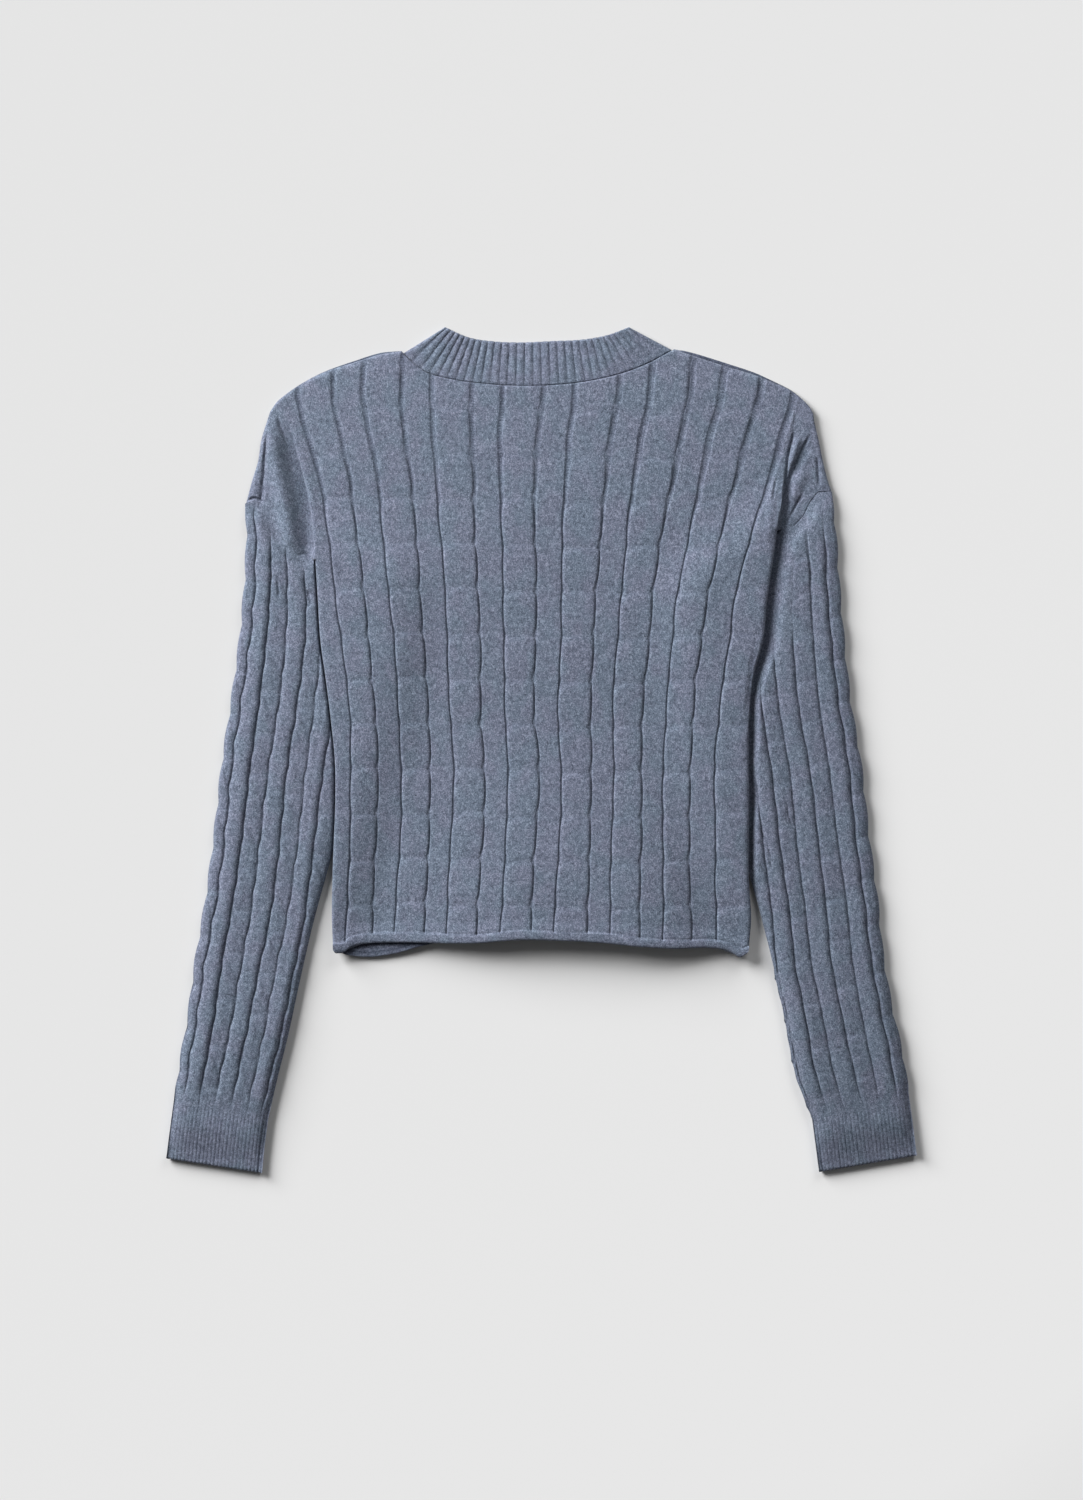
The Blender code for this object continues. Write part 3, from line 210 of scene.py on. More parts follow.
# Creases and ridges: a route in the cloth's plan, half a width, and a height, below 0 for a
# trough.
Crease = namedtuple("Crease", "route half_width rise")
BACK_CREASES = table(Crease, (
    (((-219.0, 258.0), (-221.0, 240.0), (-223.0, 215.6), (-226.5, 190.0)), 1.9, -2.4),
    (((-212.0, 268.8), (-206.8, 253.2), (-198.0, 237.6)), 2.6, -1.6),
    (((-217.0, 272.0), (-215.0, 246.0), (-208.5, 212.0), (-201.5, 176.0),
      (-196.0, 140.0)), 12.0, 4.2),
    (((-198.0, 262.0), (-188.0, 226.0), (-180.5, 190.0), (-176.0, 156.0)), 7.0, 0.9),
    (((-237.0, 199.0), (-230.0, 201.4), (-221.0, 198.8)), 1.6, -1.6),
    (((-196.0, 154.8), (-189.0, 157.6), (-181.0, 150.0)), 1.5, -1.2),
    (((203.0, 258.0), (198.0, 238.0), (194.6, 210.0)), 1.7, -1.9),
    (((216.4, 255.0), (209.6, 242.0), (203.0, 228.4), (194.2, 204.0)), 1.9, -2.2),
    (((214.0, 247.0), (207.0, 232.0), (199.6, 216.0)), 5.0, -1.3),
    (((207.0, 252.0), (203.0, 240.0), (198.4, 224.0)), 4.0, 1.8),
    (((212.0, 226.0), (205.0, 212.0), (199.0, 196.0)), 7.0, 1.4),
    (((187.0, 222.0), (185.0, 204.0), (182.0, 182.0), (180.0, 158.0)), 5.0, 0.9),
    (((220.4, 236.0), (222.0, 209.6)), 1.8, -1.6),
    (((210.0, 207.0), (203.6, 195.4), (194.0, 176.8)), 1.8, -1.3),
    (((188.0, 218.8), (184.4, 198.0)), 1.8, -1.0),
    (((174.8, 104.0), (168.4, 71.6), (165.6, 44.4), (162.8, 18.0)), 1.6, -1.5),
))
SLEEVE_CREASES = table(Crease, (
    (((189.6, 180.0), (187.6, 162.0), (184.0, 138.0), (179.0, 108.0)), 6.0, -2.0),
    (((195.6, 156.4), (203.6, 150.0)), 1.6, -1.2),
    (((210.8, 179.6), (213.6, 155.0), (216.4, 129.2)), 1.6, -1.0),
    (((167.6, -56.4), (174.8, -64.4), (182.0, -80.4), (182.8, -102.0)), 1.5, -1.3),
    (((173.8, -90.0), (182.0, -102.8)), 1.5, -1.3),
    (((195.6, -40.4), (198.8, -56.4), (203.6, -64.4)), 1.4, -1.0),
    (((-211.0, 136.0), (-210.0, 121.6)), 1.6, -1.4),
    (((-187.0, 128.6), (-184.4, 113.6)), 2.2, -1.8),
))

# Folds that lie over the cloth beside them: a route from its top, the side that lies deeper
# (1 for the right), the widths of the edge and of the way back, and the depth.
Fold = namedtuple("Fold", "route low_side edge width depth fade_in fade_out")
BACK_FOLDS = table(Fold, (
    (((195.0, 226.0), (194.4, 214.8), (192.0, 194.8), (188.8, 177.2), (188.0, 170.0)),
     1, 0.8, 9.0, 3.6, 0.3, 0.03),
    (((-204.0, 268.0), (-198.0, 244.0), (-189.0, 211.0), (-185.2, 190.0), (-181.4, 152.4)),
     -1, 1.6, 22.0, 2.2, 0.35, 0.12),
))


# ------------------------------------------------------------------ curves
def curve(points):
    """A smooth line through (place, value) pairs, straight beyond its ends."""
    places, values = np.array(sorted(points), float).T
    chords = np.diff(values) / np.diff(places)
    slopes = np.concatenate([chords[:1], (chords[:-1] + chords[1:]) / 2, chords[-1:]])

    def at(place):
        place = np.asarray(place, float)
        n = np.clip(np.searchsorted(places, place, side="right") - 1, 0, len(places) - 2)
        span = places[n + 1] - places[n]
        t = (place - places[n]) / span
        k = np.clip(t, 0.0, 1.0)
        start = values[n] * (1 + 2 * k) * (1 - k) ** 2 + span * slopes[n] * k * (1 - k) ** 2
        end = values[n + 1] * (3 - 2 * k) * k ** 2 - span * slopes[n + 1] * (1 - k) * k ** 2
        beyond = (t - k) * span * np.where(t < 0, slopes[n], slopes[n + 1])
        return start + end + beyond

    return at


def line(rows):
    """A height over x from a table of x and y."""
    return curve([(row.x, row.y) for row in rows])


def smooth(t):
    """Eases from 0 to 1."""
    t = np.clip(t, 0.0, 1.0)
    return t * t * (3 - 2 * t)


def between(start, end, part):
    return start + (end - start) * part


def round_over(distance, width):
    """A quarter-round, 0 at an edge and 1 from the given width inwards."""
    return np.sqrt(1 - (1 - np.clip(distance / width, 0.0, 1.0)) ** 2)


def rising(distance, start, width):
    """0 up to the start, and 1 from a width beyond it."""
    return smooth((distance - start) / width)


def uneven_wave(place, length, bend, bend_length):
    """A wave whose length varies along it."""
    return np.sin(place / length + bend * np.sin(place / bend_length))


def wave(shape, place, number):
    """How far a slow wave goes at a place on a band or groove."""
    return shape.size * np.sin(place / shape.length + shape.shift * number)


def stack(*channels):
    """Joins arrays of one shape into rows of coordinates."""
    return np.stack(np.broadcast_arrays(*channels), axis=-1)


left_side = curve([(row.y, row.left) for row in BODY_SIDES])
right_side = curve([(row.y, row.right) for row in BODY_SIDES])
fan_centre = curve([(row.y, row.centre) for row in FAN])
fan_left = curve([(row.y, row.left) for row in FAN])
fan_right = curve([(row.y, row.right) for row in FAN])
left_shoulder = line(LEFT_SHOULDER)
right_shoulder = line(RIGHT_SHOULDER)
neck_seam = line(NECK_SEAM)
back_hem = line(BACK_HEM)
front_hem = line(FRONT_HEM)
front_neck_seam = line(FRONT_NECK_SEAM)
shoulder_reach = line(FRONT_SHOULDER_REACH)
sleeve_inner_left = curve([(row.inner_y, row.inner_x) for row in LEFT_SLEEVE])
sleeve_inner_right = curve([(row.inner_y, row.inner_x) for row in RIGHT_SLEEVE])


def head_line(x, neck):
    """A panel's top line: shoulder, neck, shoulder."""
    slant = np.abs(neck(x + 0.5) - neck(x - 0.5))
    over_neck = neck(x) - NECK_GAP - SLANT_GAP * np.minimum(slant, 1.0)
    line_y = np.where(x > NECK_SEAM[-1].x, right_shoulder(x), over_neck)
    return np.where(x < NECK_SEAM[0].x, left_shoulder(x), line_y)


def back_head(x):
    return head_line(x, neck_seam)


def front_head(x):
    on_shoulder = (x < NECK_SEAM[0].x) | (x > NECK_SEAM[-1].x)
    reach = np.maximum(0.0, shoulder_reach(x))
    return head_line(x, front_neck_seam) + np.where(on_shoulder, reach, 0.0)


# ------------------------------------------------------------------ relief
# Beside a groove, corners lie at these parts of its flat bottom, and so far beyond it.
GROOVE_STEPS = ((0.0, 0.0), (1.0, 0.0), (1.0, 0.5), (1.0, 1.2), (1.0, 2.4))
Columns = namedtuple("Columns", "band is_cable side flat beyond inner opens")
DRAW_OUT, DRAW_IN = 0.16, 0.34      # a cable widens and narrows over these parts of a repeat
CHANNEL_EASE = 0.3          # how much less it draws in for each millimetre of open channel
FOOT_FILL = 0.45            # how much of a cable's foot is filled where it draws in
GROOVE_FILL = 0.55          # how much of a groove is filled where the cable beside it crosses
CROSSING_REACH, CROSSING_SHIFT = 0.24, 0.05     # how far from a crossing, in repeats
STRAND_FALL, STRAND_BEND = 0.75, 0.05   # how the line between two strands runs down, in repeats
STRAND_SPAN, STRAND_LINE = 16.0, 1.2    # a strand's length, and half its line's width
STRAND_SWELL = 0.9          # how much a strand swells, for each millimetre of its line's depth
OVAL_RISE = 0.50            # how high a cable's ovals stand over the ends of those above
OVAL_ARCH = (0.26, 0.56)    # how tall their arched tops are, and where across they peak
OVAL_EDGE, OVAL_SIDE = 0.075, 1.5   # a top rises over this part of a repeat, and a side over this

# How much shade is painted into the parts of a groove, from 0 to 1: right of a cable at a crossing
# and beside an oval, left of a cable, in an open channel, and at the foot of its left and its right
# wall.
CROSSING_SHADE, OVAL_SHADE = 0.16, 0.74
OVAL_START, OVAL_END = (0.12, 0.40), (0.82, 0.16)       # in repeats from a crossing
OVAL_FADE = 0.8             # how much of an oval's shade is gone at its end
CABLE_SHADE, CHANNEL_SHADE = 0.52, 0.38
LEFT_FOOT, DRAWN_FOOT, RIB_FOOT, CHANNEL_FOOT = 0.45, 0.30, 0.25, 0.05
RIGHT_FOOT, CHANNEL_RIGHT = 0.8, 0.65
OVER_LEFT, OVER_RIGHT = 0.15, 0.45      # how much of a foot's shade its wall has
DRAWN_PURL = 0.5            # how far the purl ground shows where a cable draws in
CREASE_SHADE, DARKEST_CREASE = 0.30, 0.6        # painted shade in creases and folds: for each millimetre, and the darkest
FOLD_SHADE, DARKEST_FOLD = 0.28, 0.8
CREASE_FADE = 0.25          # a crease fades over this part of its length at either end
RIPPLES = (0.32, 0.14)      # the heights of the cloth's slow and quick unevenness


def uneven(phase):
    """A strength that varies from one strand or rib to the next."""
    return 0.75 + 0.25 * np.sin(phase)


def knit_columns(kinds, inner_counts):
    """The columns of corners over bands of knitting. Those beside a groove keep to its side,
    at parts of its flat bottom and then so far beyond it; the others are spread evenly."""
    rows = []
    last = len(kinds) - 1
    for number, kind in enumerate(kinds):
        is_cable, count = kind == "cable", inner_counts[kind]
        rows += [(number, is_cable, -1, *step, 0.0, number > 0) for step in GROOVE_STEPS]
        rows += [(number, is_cable, 0, 0.0, 0.0, n / (count + 1), True)
                 for n in range(1, count + 1)]
        rows += [(number, is_cable, 1, *step, 0.0, number < last)
                 for step in GROOVE_STEPS[:0:-1]]
    rows.append((last, kinds[-1] == "cable", 1, 0.0, 0.0, 0.0, False))
    return Columns(*[np.array(values) for values in zip(*rows)])


def drawn_in(repeats):
    """How far a cable's edges are drawn in, as between two ovals that touch."""
    phase = repeats - np.floor(repeats)
    return 1 - np.minimum(round_over(phase, DRAW_OUT), round_over(1 - phase, DRAW_IN))


def groove_flats(columns, repeats, channel, knit):
    """Half the flat bottom of the groove on the left and on the right of every corner's band."""
    draw = drawn_in(repeats) * columns.is_cable / (1 + CHANNEL_EASE * channel)
    first, last = columns.band == 0, columns.band == columns.band[-1]
    left = np.where(first, 0.0, channel + knit.inset_left * draw)
    right = np.where(last, 0.0, channel + knit.inset_right * draw)
    return left, right


def knit_across(columns, width, left, right):
    """Every corner's place across its band, from 0 to 1."""
    reach = GROOVE_STEPS[-1][1]
    on_left = columns.flat * left + columns.beyond
    on_right = width - columns.flat * right - columns.beyond
    inside = between(left + reach, width - right - reach, columns.inner)
    place = np.where(columns.side < 0, on_left, np.where(columns.side > 0, on_right, inside))
    return place / width


def strand_lines(columns, across, edge, repeats, knit):
    """The lines between a cable's strands, and how much each strand swells between them."""
    place = repeats - STRAND_FALL * across - STRAND_BEND * np.sin(2 * math.pi * across)
    number = np.round(place)
    depth = knit.twist * uneven(2.3 * number + 1.7 * columns.band)
    line_shape = np.exp(-((place - number) * STRAND_SPAN / STRAND_LINE) ** 2)
    lines = depth * line_shape * columns.is_cable * smooth(edge / 2.0)
    overlap = 0.5 - (place - np.floor(place))
    return lines, STRAND_SWELL * knit.twist * overlap * smooth(edge / 4.0)


def knit_relief(columns, across, width, left, right, repeats, knit, lean=1):
    """The height of cables and ribs over their grooves, and the lines between strands."""
    first, last = columns.band == 0, columns.band == columns.band[-1]
    from_left = np.where(first, FAR, across * width - left)
    from_right = np.where(last, FAR, (1 - across) * width - right)
    edge = np.clip(np.minimum(from_left, from_right), 0, None)
    filled = FOOT_FILL * knit.cable * drawn_in(repeats) * (columns.flat > 0)
    phase = repeats - np.floor(repeats)
    oval = 1 - np.abs(2 * phase - 1) ** 3 - np.abs(np.clip(2 * across - 1, -1, 1)) ** 3
    bulge = knit.bulge * np.sqrt(np.clip(oval, 0, 1))
    cable = filled + (knit.cable - filled) * round_over(edge, knit.cable_round) + bulge
    rib = knit.rib * round_over(edge, knit.rib_round)
    beside_cable = np.where(columns.is_cable, columns.side > 0, columns.side < 0)
    apart = np.abs(repeats - np.round(repeats) + CROSSING_SHIFT)
    crossing = (1 - smooth(apart / CROSSING_REACH)) * beside_cable * ~first
    ground = GROOVE_FILL * min(knit.rib, knit.cable) * crossing
    lines, swell = strand_lines(columns, across, edge, repeats, knit)
    cable = np.maximum(cable, ground) - lines + lean * swell
    return np.where(columns.is_cable, cable, np.maximum(rib, ground)), lines


def oval_rise(columns, repeats, across):
    """How high a cable's ovals stand: most under their arched tops, and nothing at their ends."""
    tall, peak = OVAL_ARCH
    aside = (across - peak) / np.where(across < peak, peak, 1 - peak)
    arch = tall * (1 - np.sqrt(1 - np.clip(np.abs(aside), 0, 1) ** 2))
    number = np.floor(repeats - arch)
    place = repeats - arch - number
    on_top = np.where(columns.side == 0, 1.0, smooth(columns.beyond / OVAL_SIDE))
    on_top = on_top * uneven(2.3 * number + 1.9 * columns.band) * columns.is_cable
    return OVAL_RISE * (smooth(place / OVAL_EDGE) - place) * on_top


def knit_shade(columns, repeats, open_up):
    """How much shade is painted at every corner, and how far it shows the purl ground of an open
    channel.
    """
    draw = drawn_in(repeats)
    phase = repeats - np.floor(repeats)
    beside_oval = rising(phase, *OVAL_START) * (1 - OVAL_FADE * rising(phase, *OVAL_END))
    crescent = between(CROSSING_SHADE, OVAL_SHADE, beside_oval)
    bottom = np.where(columns.is_cable, CABLE_SHADE, crescent * (1 - draw))
    bottom = between(bottom, CHANNEL_SHADE, open_up)
    left_foot = np.where(columns.is_cable, LEFT_FOOT + DRAWN_FOOT * draw, RIB_FOOT)
    left_foot = between(left_foot, CHANNEL_FOOT, open_up)
    right_foot = np.where(columns.is_cable, crescent, RIGHT_FOOT)
    right_foot = right_foot * between(1.0, CHANNEL_RIGHT, open_up)
    on_left = columns.side < 0
    foot = np.where(on_left, left_foot, right_foot)
    wall = np.where(on_left, OVER_LEFT * left_foot, OVER_RIGHT * right_foot)
    is_bottom = (columns.side != 0) & (columns.flat == 0)
    is_foot = (columns.flat > 0) & (columns.beyond == 0)
    is_wall = columns.beyond == GROOVE_STEPS[2][1]
    shade = is_bottom * bottom + is_foot * foot + is_wall * wall
    purl = (is_bottom | is_foot) * np.maximum(open_up, DRAWN_PURL * draw * columns.is_cable)
    return shade * columns.opens, purl * columns.opens


def follow(route, x, y):
    """The distance of each place from a route, positive on its right, and how far along it is."""
    route = np.array(route, float)
    lengths = np.concatenate([[0], np.cumsum(np.hypot(*np.diff(route, axis=0).T))])
    steps = np.linspace(0, lengths[-1], 4 * len(route) + 9)
    route_x = curve(list(zip(lengths, route[:, 0])))(steps)
    route_y = curve(list(zip(lengths, route[:, 1])))(steps)
    nearest, along = np.full_like(x, 1e3), np.zeros_like(x)
    for n in range(len(steps) - 1):
        ax, ay = route_x[n], route_y[n]
        ux, uy = route_x[n + 1] - ax, route_y[n + 1] - ay
        t = np.clip(((x - ax) * ux + (y - ay) * uy) / (ux * ux + uy * uy), 0, 1)
        apart = np.hypot(x - ax - t * ux, y - ay - t * uy)
        closer = apart < np.abs(nearest)
        side = np.where(ux * (y - ay) - uy * (x - ax) >= 0, 1.0, -1.0)
        nearest = np.where(closer, side * apart, nearest)
        along = np.where(closer, (n + t) / (len(steps) - 1), along)
    return nearest, along


def crease_relief(creases, x, y):
    """The height that creases and ridges add at a place."""
    total = np.zeros_like(x)
    for crease in creases:
        apart, along = follow(crease.route, x, y)
        fade = smooth(along / CREASE_FADE) * smooth((1 - along) / CREASE_FADE)
        total += crease.rise * fade * (1 - smooth(np.abs(apart) / crease.half_width))
    return total


def fold_drop(folds, x, y):
    """How much deeper the cloth lies beside its folds: a steep edge on one side of the route,
    and a slow way back on the other."""
    total = np.zeros_like(x)
    for fold in folds:
        apart, along = follow(fold.route, x, y)
        beside = apart * fold.low_side
        fade = smooth(along / fold.fade_in) * smooth((1 - along) / fold.fade_out)
        edge = smooth((beside + fold.edge) / fold.edge)
        back = 1 - smooth(beside / fold.width)
        total += fold.depth * fade * np.minimum(edge, back)
    return total


def crease_shade(creased, dropped):
    """The shade painted into the bottoms of creases and folds."""
    in_crease = np.clip(-CREASE_SHADE * creased, 0, DARKEST_CREASE)
    return in_crease + np.clip(FOLD_SHADE * dropped, 0, DARKEST_FOLD)


def ripples(x, y):
    """The cloth's slight unevenness: waves across and along it that never quite repeat."""
    slow = np.sin(x / 31.0 + 1.3 * np.sin(y / 47.0)) * np.sin(y / 38.0 + 0.7)
    quick = np.sin(x / 13.0 - y / 21.0 + 2.0) * np.sin(y / 17.0 + x / 55.0)
    return RIPPLES[0] * slow + RIPPLES[1] * quick


# ------------------------------------------------------------------ heights of the body
SLEEVE_LIFT = 4.9           # how high a sleeve lifts the body's edge
LIFT_MARGIN = 2.0           # the lift is full up to here beyond the sleeve's own edge
SIDE_DRAPE, TOP_DRAPE = 50.0, 56.0      # the body comes down over this, inwards and upwards
VALLEY = 5.0                # and over this outside its fold
HEM_LIFT, HEM_LIFT_LENGTH = 1.7, 14.0   # how thick the front's hem is, and how far it reaches
HEM_LIFT_EDGE = 4.0         # it is full up to here
HEM_RISE, HEM_RISE_LENGTH = 10.5, 185.0     # how far the hem's middle stands off the surface
HEM_RISE_LEFT, HEM_RISE_RIGHT = -135.0, 168.0
HEM_RISE_SLOPES = (130.0, 95.0)             # how wide the slopes inside these two places are


def side_cover(x, y, sign, inner_edge, fold, armhole):
    """How far one sleeve lifts the body, from 0 to 1."""
    corner, end = armhole[-2], armhole[-1]
    beside = 1 - smooth((sign * (inner_edge(y) - x) - LIFT_MARGIN) / SIDE_DRAPE)
    end_part = (x - corner.x) / (end.x - corner.x)
    above = 1 - smooth((y - between(corner.y, end.y, end_part) - LIFT_MARGIN) / TOP_DRAPE)
    valley = 1 - smooth(sign * (x - fold(y)) / VALLEY)
    return beside * above * valley


def body_base(x, y):
    """The underside of the front panel."""
    left = side_cover(x, y, -1, sleeve_inner_left, left_side, LEFT_ARMHOLE)
    right = side_cover(x, y, 1, sleeve_inner_right, right_side, RIGHT_ARMHOLE)
    return SLEEVE_LIFT * np.maximum(left, right) + hem_rise(x, y)


def hem_rise(x, y):
    """The middle of the hem stands a little off the surface."""
    along = smooth((x - HEM_RISE_LEFT) / HEM_RISE_SLOPES[0])
    along = along * smooth((HEM_RISE_RIGHT - x) / HEM_RISE_SLOPES[1])
    return HEM_RISE * along * (1 - smooth((y - back_hem(x)) / HEM_RISE_LENGTH))


def front_top(x, y):
    """The upper side of the front panel, which is thicker at its hem."""
    at_hem = 1 - rising(y - back_hem(x), HEM_LIFT_EDGE, HEM_LIFT_LENGTH)
    return body_base(x, y) + PLAIN_WALL + HEM_LIFT * at_hem


def back_inside(x, y):
    return front_top(x, y) + LAYER_GAP


# ------------------------------------------------------------------ the body's grid
# The rows over the rolled hem by their distance from its edge, and the last ones to the head.
HALF_HEM = (0.0, 0.5, 1.1, 1.9, 2.8, 3.8, 4.8, 5.7, 6.5, 7.1, 7.6, 8.1, 8.7, 9.6, 11.0, 12.6)
HEAD_STEPS = (4.8, 3.6, 2.6, 1.8, 1.1, 0.5, 0.0)
ROWS = 320                  # rows of cells from the hem to the head
CORNER_ROW = 232            # the row that meets both armhole corners
WAIST_ROW = 150
SHOULDER_COLUMNS = 40       # columns of cells outside each body fold
SHOULDER_SPACING = 1.25     # how much closer these lie at the fold, as a power
COARSE = 8                  # the plain side has one cell for this many
NEAR_HEM, NEAR_HEAD = -154.0, 290.0     # roughly where the hem and the head lie
SETTLING = 6                # rounds until every column meets its own place on them

EDGE_WIDTH = 14.0           # the two outermost bands, at the waist
BODY_BANDS = (Band("rib", EDGE_WIDTH),) + BACK_BANDS + (Band("cable", EDGE_WIDTH),)
GROOVES = np.cumsum([0.0] + [band.width for band in BACK_BANDS])
GROOVES = GROOVES - GROOVES[CENTRE_GROOVE]
BODY_COLUMNS = knit_columns([band.kind for band in BODY_BANDS], {"cable": 9, "rib": 4})
NARROW_CHANNEL = 0.15       # half the flat bottom of a groove on the body
WIDE_CHANNEL = 1.7          # the same at the yoke, where the cloth is stretched open
WIDENING, WIDENING_RUN = 0.45, 130      # how much wider they are on the right, and how far out
CHANNEL_START, CHANNEL_LENGTH = 160.0, 90.0     # how high they begin to open, and how slowly
CROSSING_ROW = 128.0        # a row where the body's cables cross
CABLE_PINCH, PINCH_REACH = 0.5, 0.35    # how far its grooves draw in, over how many repeats


def groove_x(number, y):
    """A groove's place at a height. A cable's grooves draw in at its crossings."""
    offset = GROOVES[number]
    spread = fan_left(y) if offset < 0 else fan_right(y)
    repeats = body_repeats(y, number)
    pinch = CABLE_PINCH * (1 - smooth(np.abs(repeats - np.round(repeats)) / PINCH_REACH))
    starts_cable = BODY_BANDS[number + 1].kind == "cable"
    wander = wave(GROOVE_WAVE, y, number)
    return fan_centre(y) + offset * spread + (pinch if starts_cable else -pinch) + wander


def yoke_channel(x, y):
    """Half the flat bottom of a groove on the body, and how far it is stretched open."""
    open_up = smooth((y - CHANNEL_START) / CHANNEL_LENGTH)
    wide = WIDE_CHANNEL * (1 + WIDENING * smooth(x / WIDENING_RUN))
    return between(NARROW_CHANNEL, wide, open_up), open_up


def body_repeats(y, band):
    """How many repeats of a band lie above a height. The cables don't cross quite in line."""
    late = wave(CROSSING_LAG, 0.0, band) + wave(CROSSING_WAVE, y, band)
    return (CROSSING_ROW - y) / CABLE_REPEAT + late


def band_edges(y):
    """The left and right edge of every column's band, at heights y[row, column]."""
    last = len(BODY_BANDS) - 1
    edges = [left_side(y)] + [groove_x(n, y) for n in range(last)] + [right_side(y)]
    edges = np.stack(edges)
    rows = np.arange(y.shape[0])[:, None]
    columns = np.arange(y.shape[1])[None, :]
    start = edges[BODY_COLUMNS.band[None, :], rows, columns]
    end = edges[BODY_COLUMNS.band[None, :] + 1, rows, columns]
    return start, end


def body_places(y):
    """The x, band width, place across the band and groove bottoms of every corner."""
    start, end = band_edges(y)
    channel, _ = yoke_channel((start + end) / 2, y)
    left, right = groove_flats(BODY_COLUMNS, body_repeats(y, BODY_COLUMNS.band), channel, BODY_KNIT)
    across = knit_across(BODY_COLUMNS, end - start, left, right)
    return between(start, end, across), end - start, across, left, right


def body_plan(head, foot):
    """The x and y of every corner between the two body folds."""
    count = len(BODY_COLUMNS.band)
    y_foot, y_head = np.full((1, count), NEAR_HEM), np.full((1, count), NEAR_HEAD)
    for _ in range(SETTLING):
        y_foot = foot(body_places(y_foot)[0])
        x_head = body_places(y_head)[0]
        y_head = head(x_head)
    left, right = LEFT_ARMHOLE[-2], RIGHT_ARMHOLE[-2]
    part = np.clip((x_head - left.x) / (right.x - left.x), 0, 1)
    corner = between(left.y, right.y, part)
    middle = np.linspace(0, 1, CORNER_ROW - len(HALF_HEM) + 2)[1:, None]
    yoke = np.linspace(0, 1, ROWS - CORNER_ROW - len(HEAD_STEPS) + 2)[1:-1, None]
    y = np.concatenate([
        y_foot + np.array(HALF_HEM)[:, None],
        between(y_foot + HALF_HEM[-1], corner, middle),
        between(corner, y_head - HEAD_STEPS[0], yoke),
        y_head - np.array(HEAD_STEPS)[:, None],
    ])
    return body_places(y)[0], y


def armhole_at(armhole, across):
    places = [row.across for row in armhole]
    seam_x = np.interp(across, places, [row.x for row in armhole])
    seam_y = np.interp(across, places, [row.y for row in armhole])
    return seam_x, seam_y


def shoulder_plan(fold_x, fold_y, outline, armhole, head):
    """The corners outside a body fold, from the fold to the outline."""
    part = np.linspace(0, 1, SHOULDER_COLUMNS + 1) ** SHOULDER_SPACING
    across = armhole[-2].across * (1 - part)
    seam_x, seam_y = armhole_at(armhole, across)
    fold_x, fold_y = fold_x[:, None], fold_y[:, None]
    up = (fold_y - fold_y[0]) / (fold_y[-1] - fold_y[0])
    outline_x = line([Line(row.y, row.x) for row in outline])
    outer_y = between(outline[0].y, outline[-1].y, up)
    fade = (1 - up) ** 2 * ((part > 0) & (part < 1))
    x = between(fold_x, outline_x(outer_y), part)
    y = between(fold_y, outer_y, part)
    x = x + (seam_x - between(fold_x[0], outline[0].x, part)) * fade
    y = y + (seam_y + SEAM_GAP - between(fold_y[0], outline[0].y, part)) * fade
    top = y[-1] - head(x[-1])
    y = y - np.where(part > 0, top, 0.0) * up ** 3
    return x, y, part * np.ones_like(up)


# ------------------------------------------------------------------ mesh tools
def new_cloth():
    """An empty mesh whose corners carry the cloth's values: across, along, painted shade and purl.
    """
    bm = bmesh.new()
    return bm, bm.verts.layers.float_color.new("cloth")


def lay_grid(bm, layer, points, cloth, face_down=False):
    """A grid of cells with its corners at points[row, column]."""
    rows, columns = points.shape[:2]
    made = bmesh.ops.create_grid(bm, x_segments=columns - 1, y_segments=rows - 1, size=1.0)
    places = (points.reshape(-1, 3) * MM).tolist()
    for vert, place, weave in zip(made["verts"], places, cloth.reshape(-1, 4).tolist()):
        vert.co = place
        vert[layer] = weave
    if face_down:
        faces = {face for vert in made["verts"] for face in vert.link_faces}
        bmesh.ops.reverse_faces(bm, faces=list(faces))


def weld(bm):
    bmesh.ops.remove_doubles(bm, verts=bm.verts, dist=WELD)


def finish_piece(name, bm, node):
    """Makes the piece from its mesh, gives it its yarn and puts it in its solid's place."""
    mesh = bpy.data.meshes.new(name)
    bm.to_mesh(mesh)
    bm.free()
    mesh.shade_smooth()
    mesh.set_sharp_from_angle(angle=SHARP_TURN)
    mesh.materials.append(YARN)
    piece = bpy.data.objects.new(name, mesh)
    bpy.context.scene.collection.objects.link(piece)
    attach(piece, "root")
    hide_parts(node)
    return piece


# ------------------------------------------------------------------ yarn
DARK_FIBRE = (0.038, 0.047, 0.068)
MIDDLE_FIBRE = (0.114, 0.138, 0.190)
LIGHT_FIBRE = (0.255, 0.289, 0.368)
COOL_PATCH = (0.95, 1.00, 1.00)
WARM_PATCH = (1.04, 0.99, 1.02)
# Painted shade darkens the yarn towards this colour in grooves, creases, folds and under the body's
# edge.
SHADE_COLOUR = (0.42, 0.44, 0.48)
GROOVE_SHADE = 0.70         # how far the darkest painted shade takes on that colour
PURL_SHADE = 0.55           # the same for the dots of the purl ground
LEAST_DOT = 0.1             # how dark the purl ground is between its dots
KNIT_STITCH, PURL_STITCH = (1.6, 1.25), (1.5, 2.2)      # widths and heights, in millimetres
STITCH_SLANT = 1.3          # how steeply a stitch's legs run
FLECK_PARTS = (0.7, 0.3)    # how much of the flecks is fine, and how much is broad
FLECK_RELIEF = 1.6          # how far the fibres stand out, in stitches
BUMP, BUMP_METRES = 0.55, 0.00035       # how strong the yarn's bump is, and how high

# The sizes of the blend's flecks and patches, in repeats for each metre.
Noise = namedtuple("Noise", "scale roughness distortion stretch")
FINE_FLECKS = Noise(1150.0, 0.7, 0.6, 0.8)
BROAD_FLECKS = Noise(360.0, 0.6, 0.5, 0.85)
BLEND_PATCHES = Noise(52.0, 0.55, 0.2, 0.8)


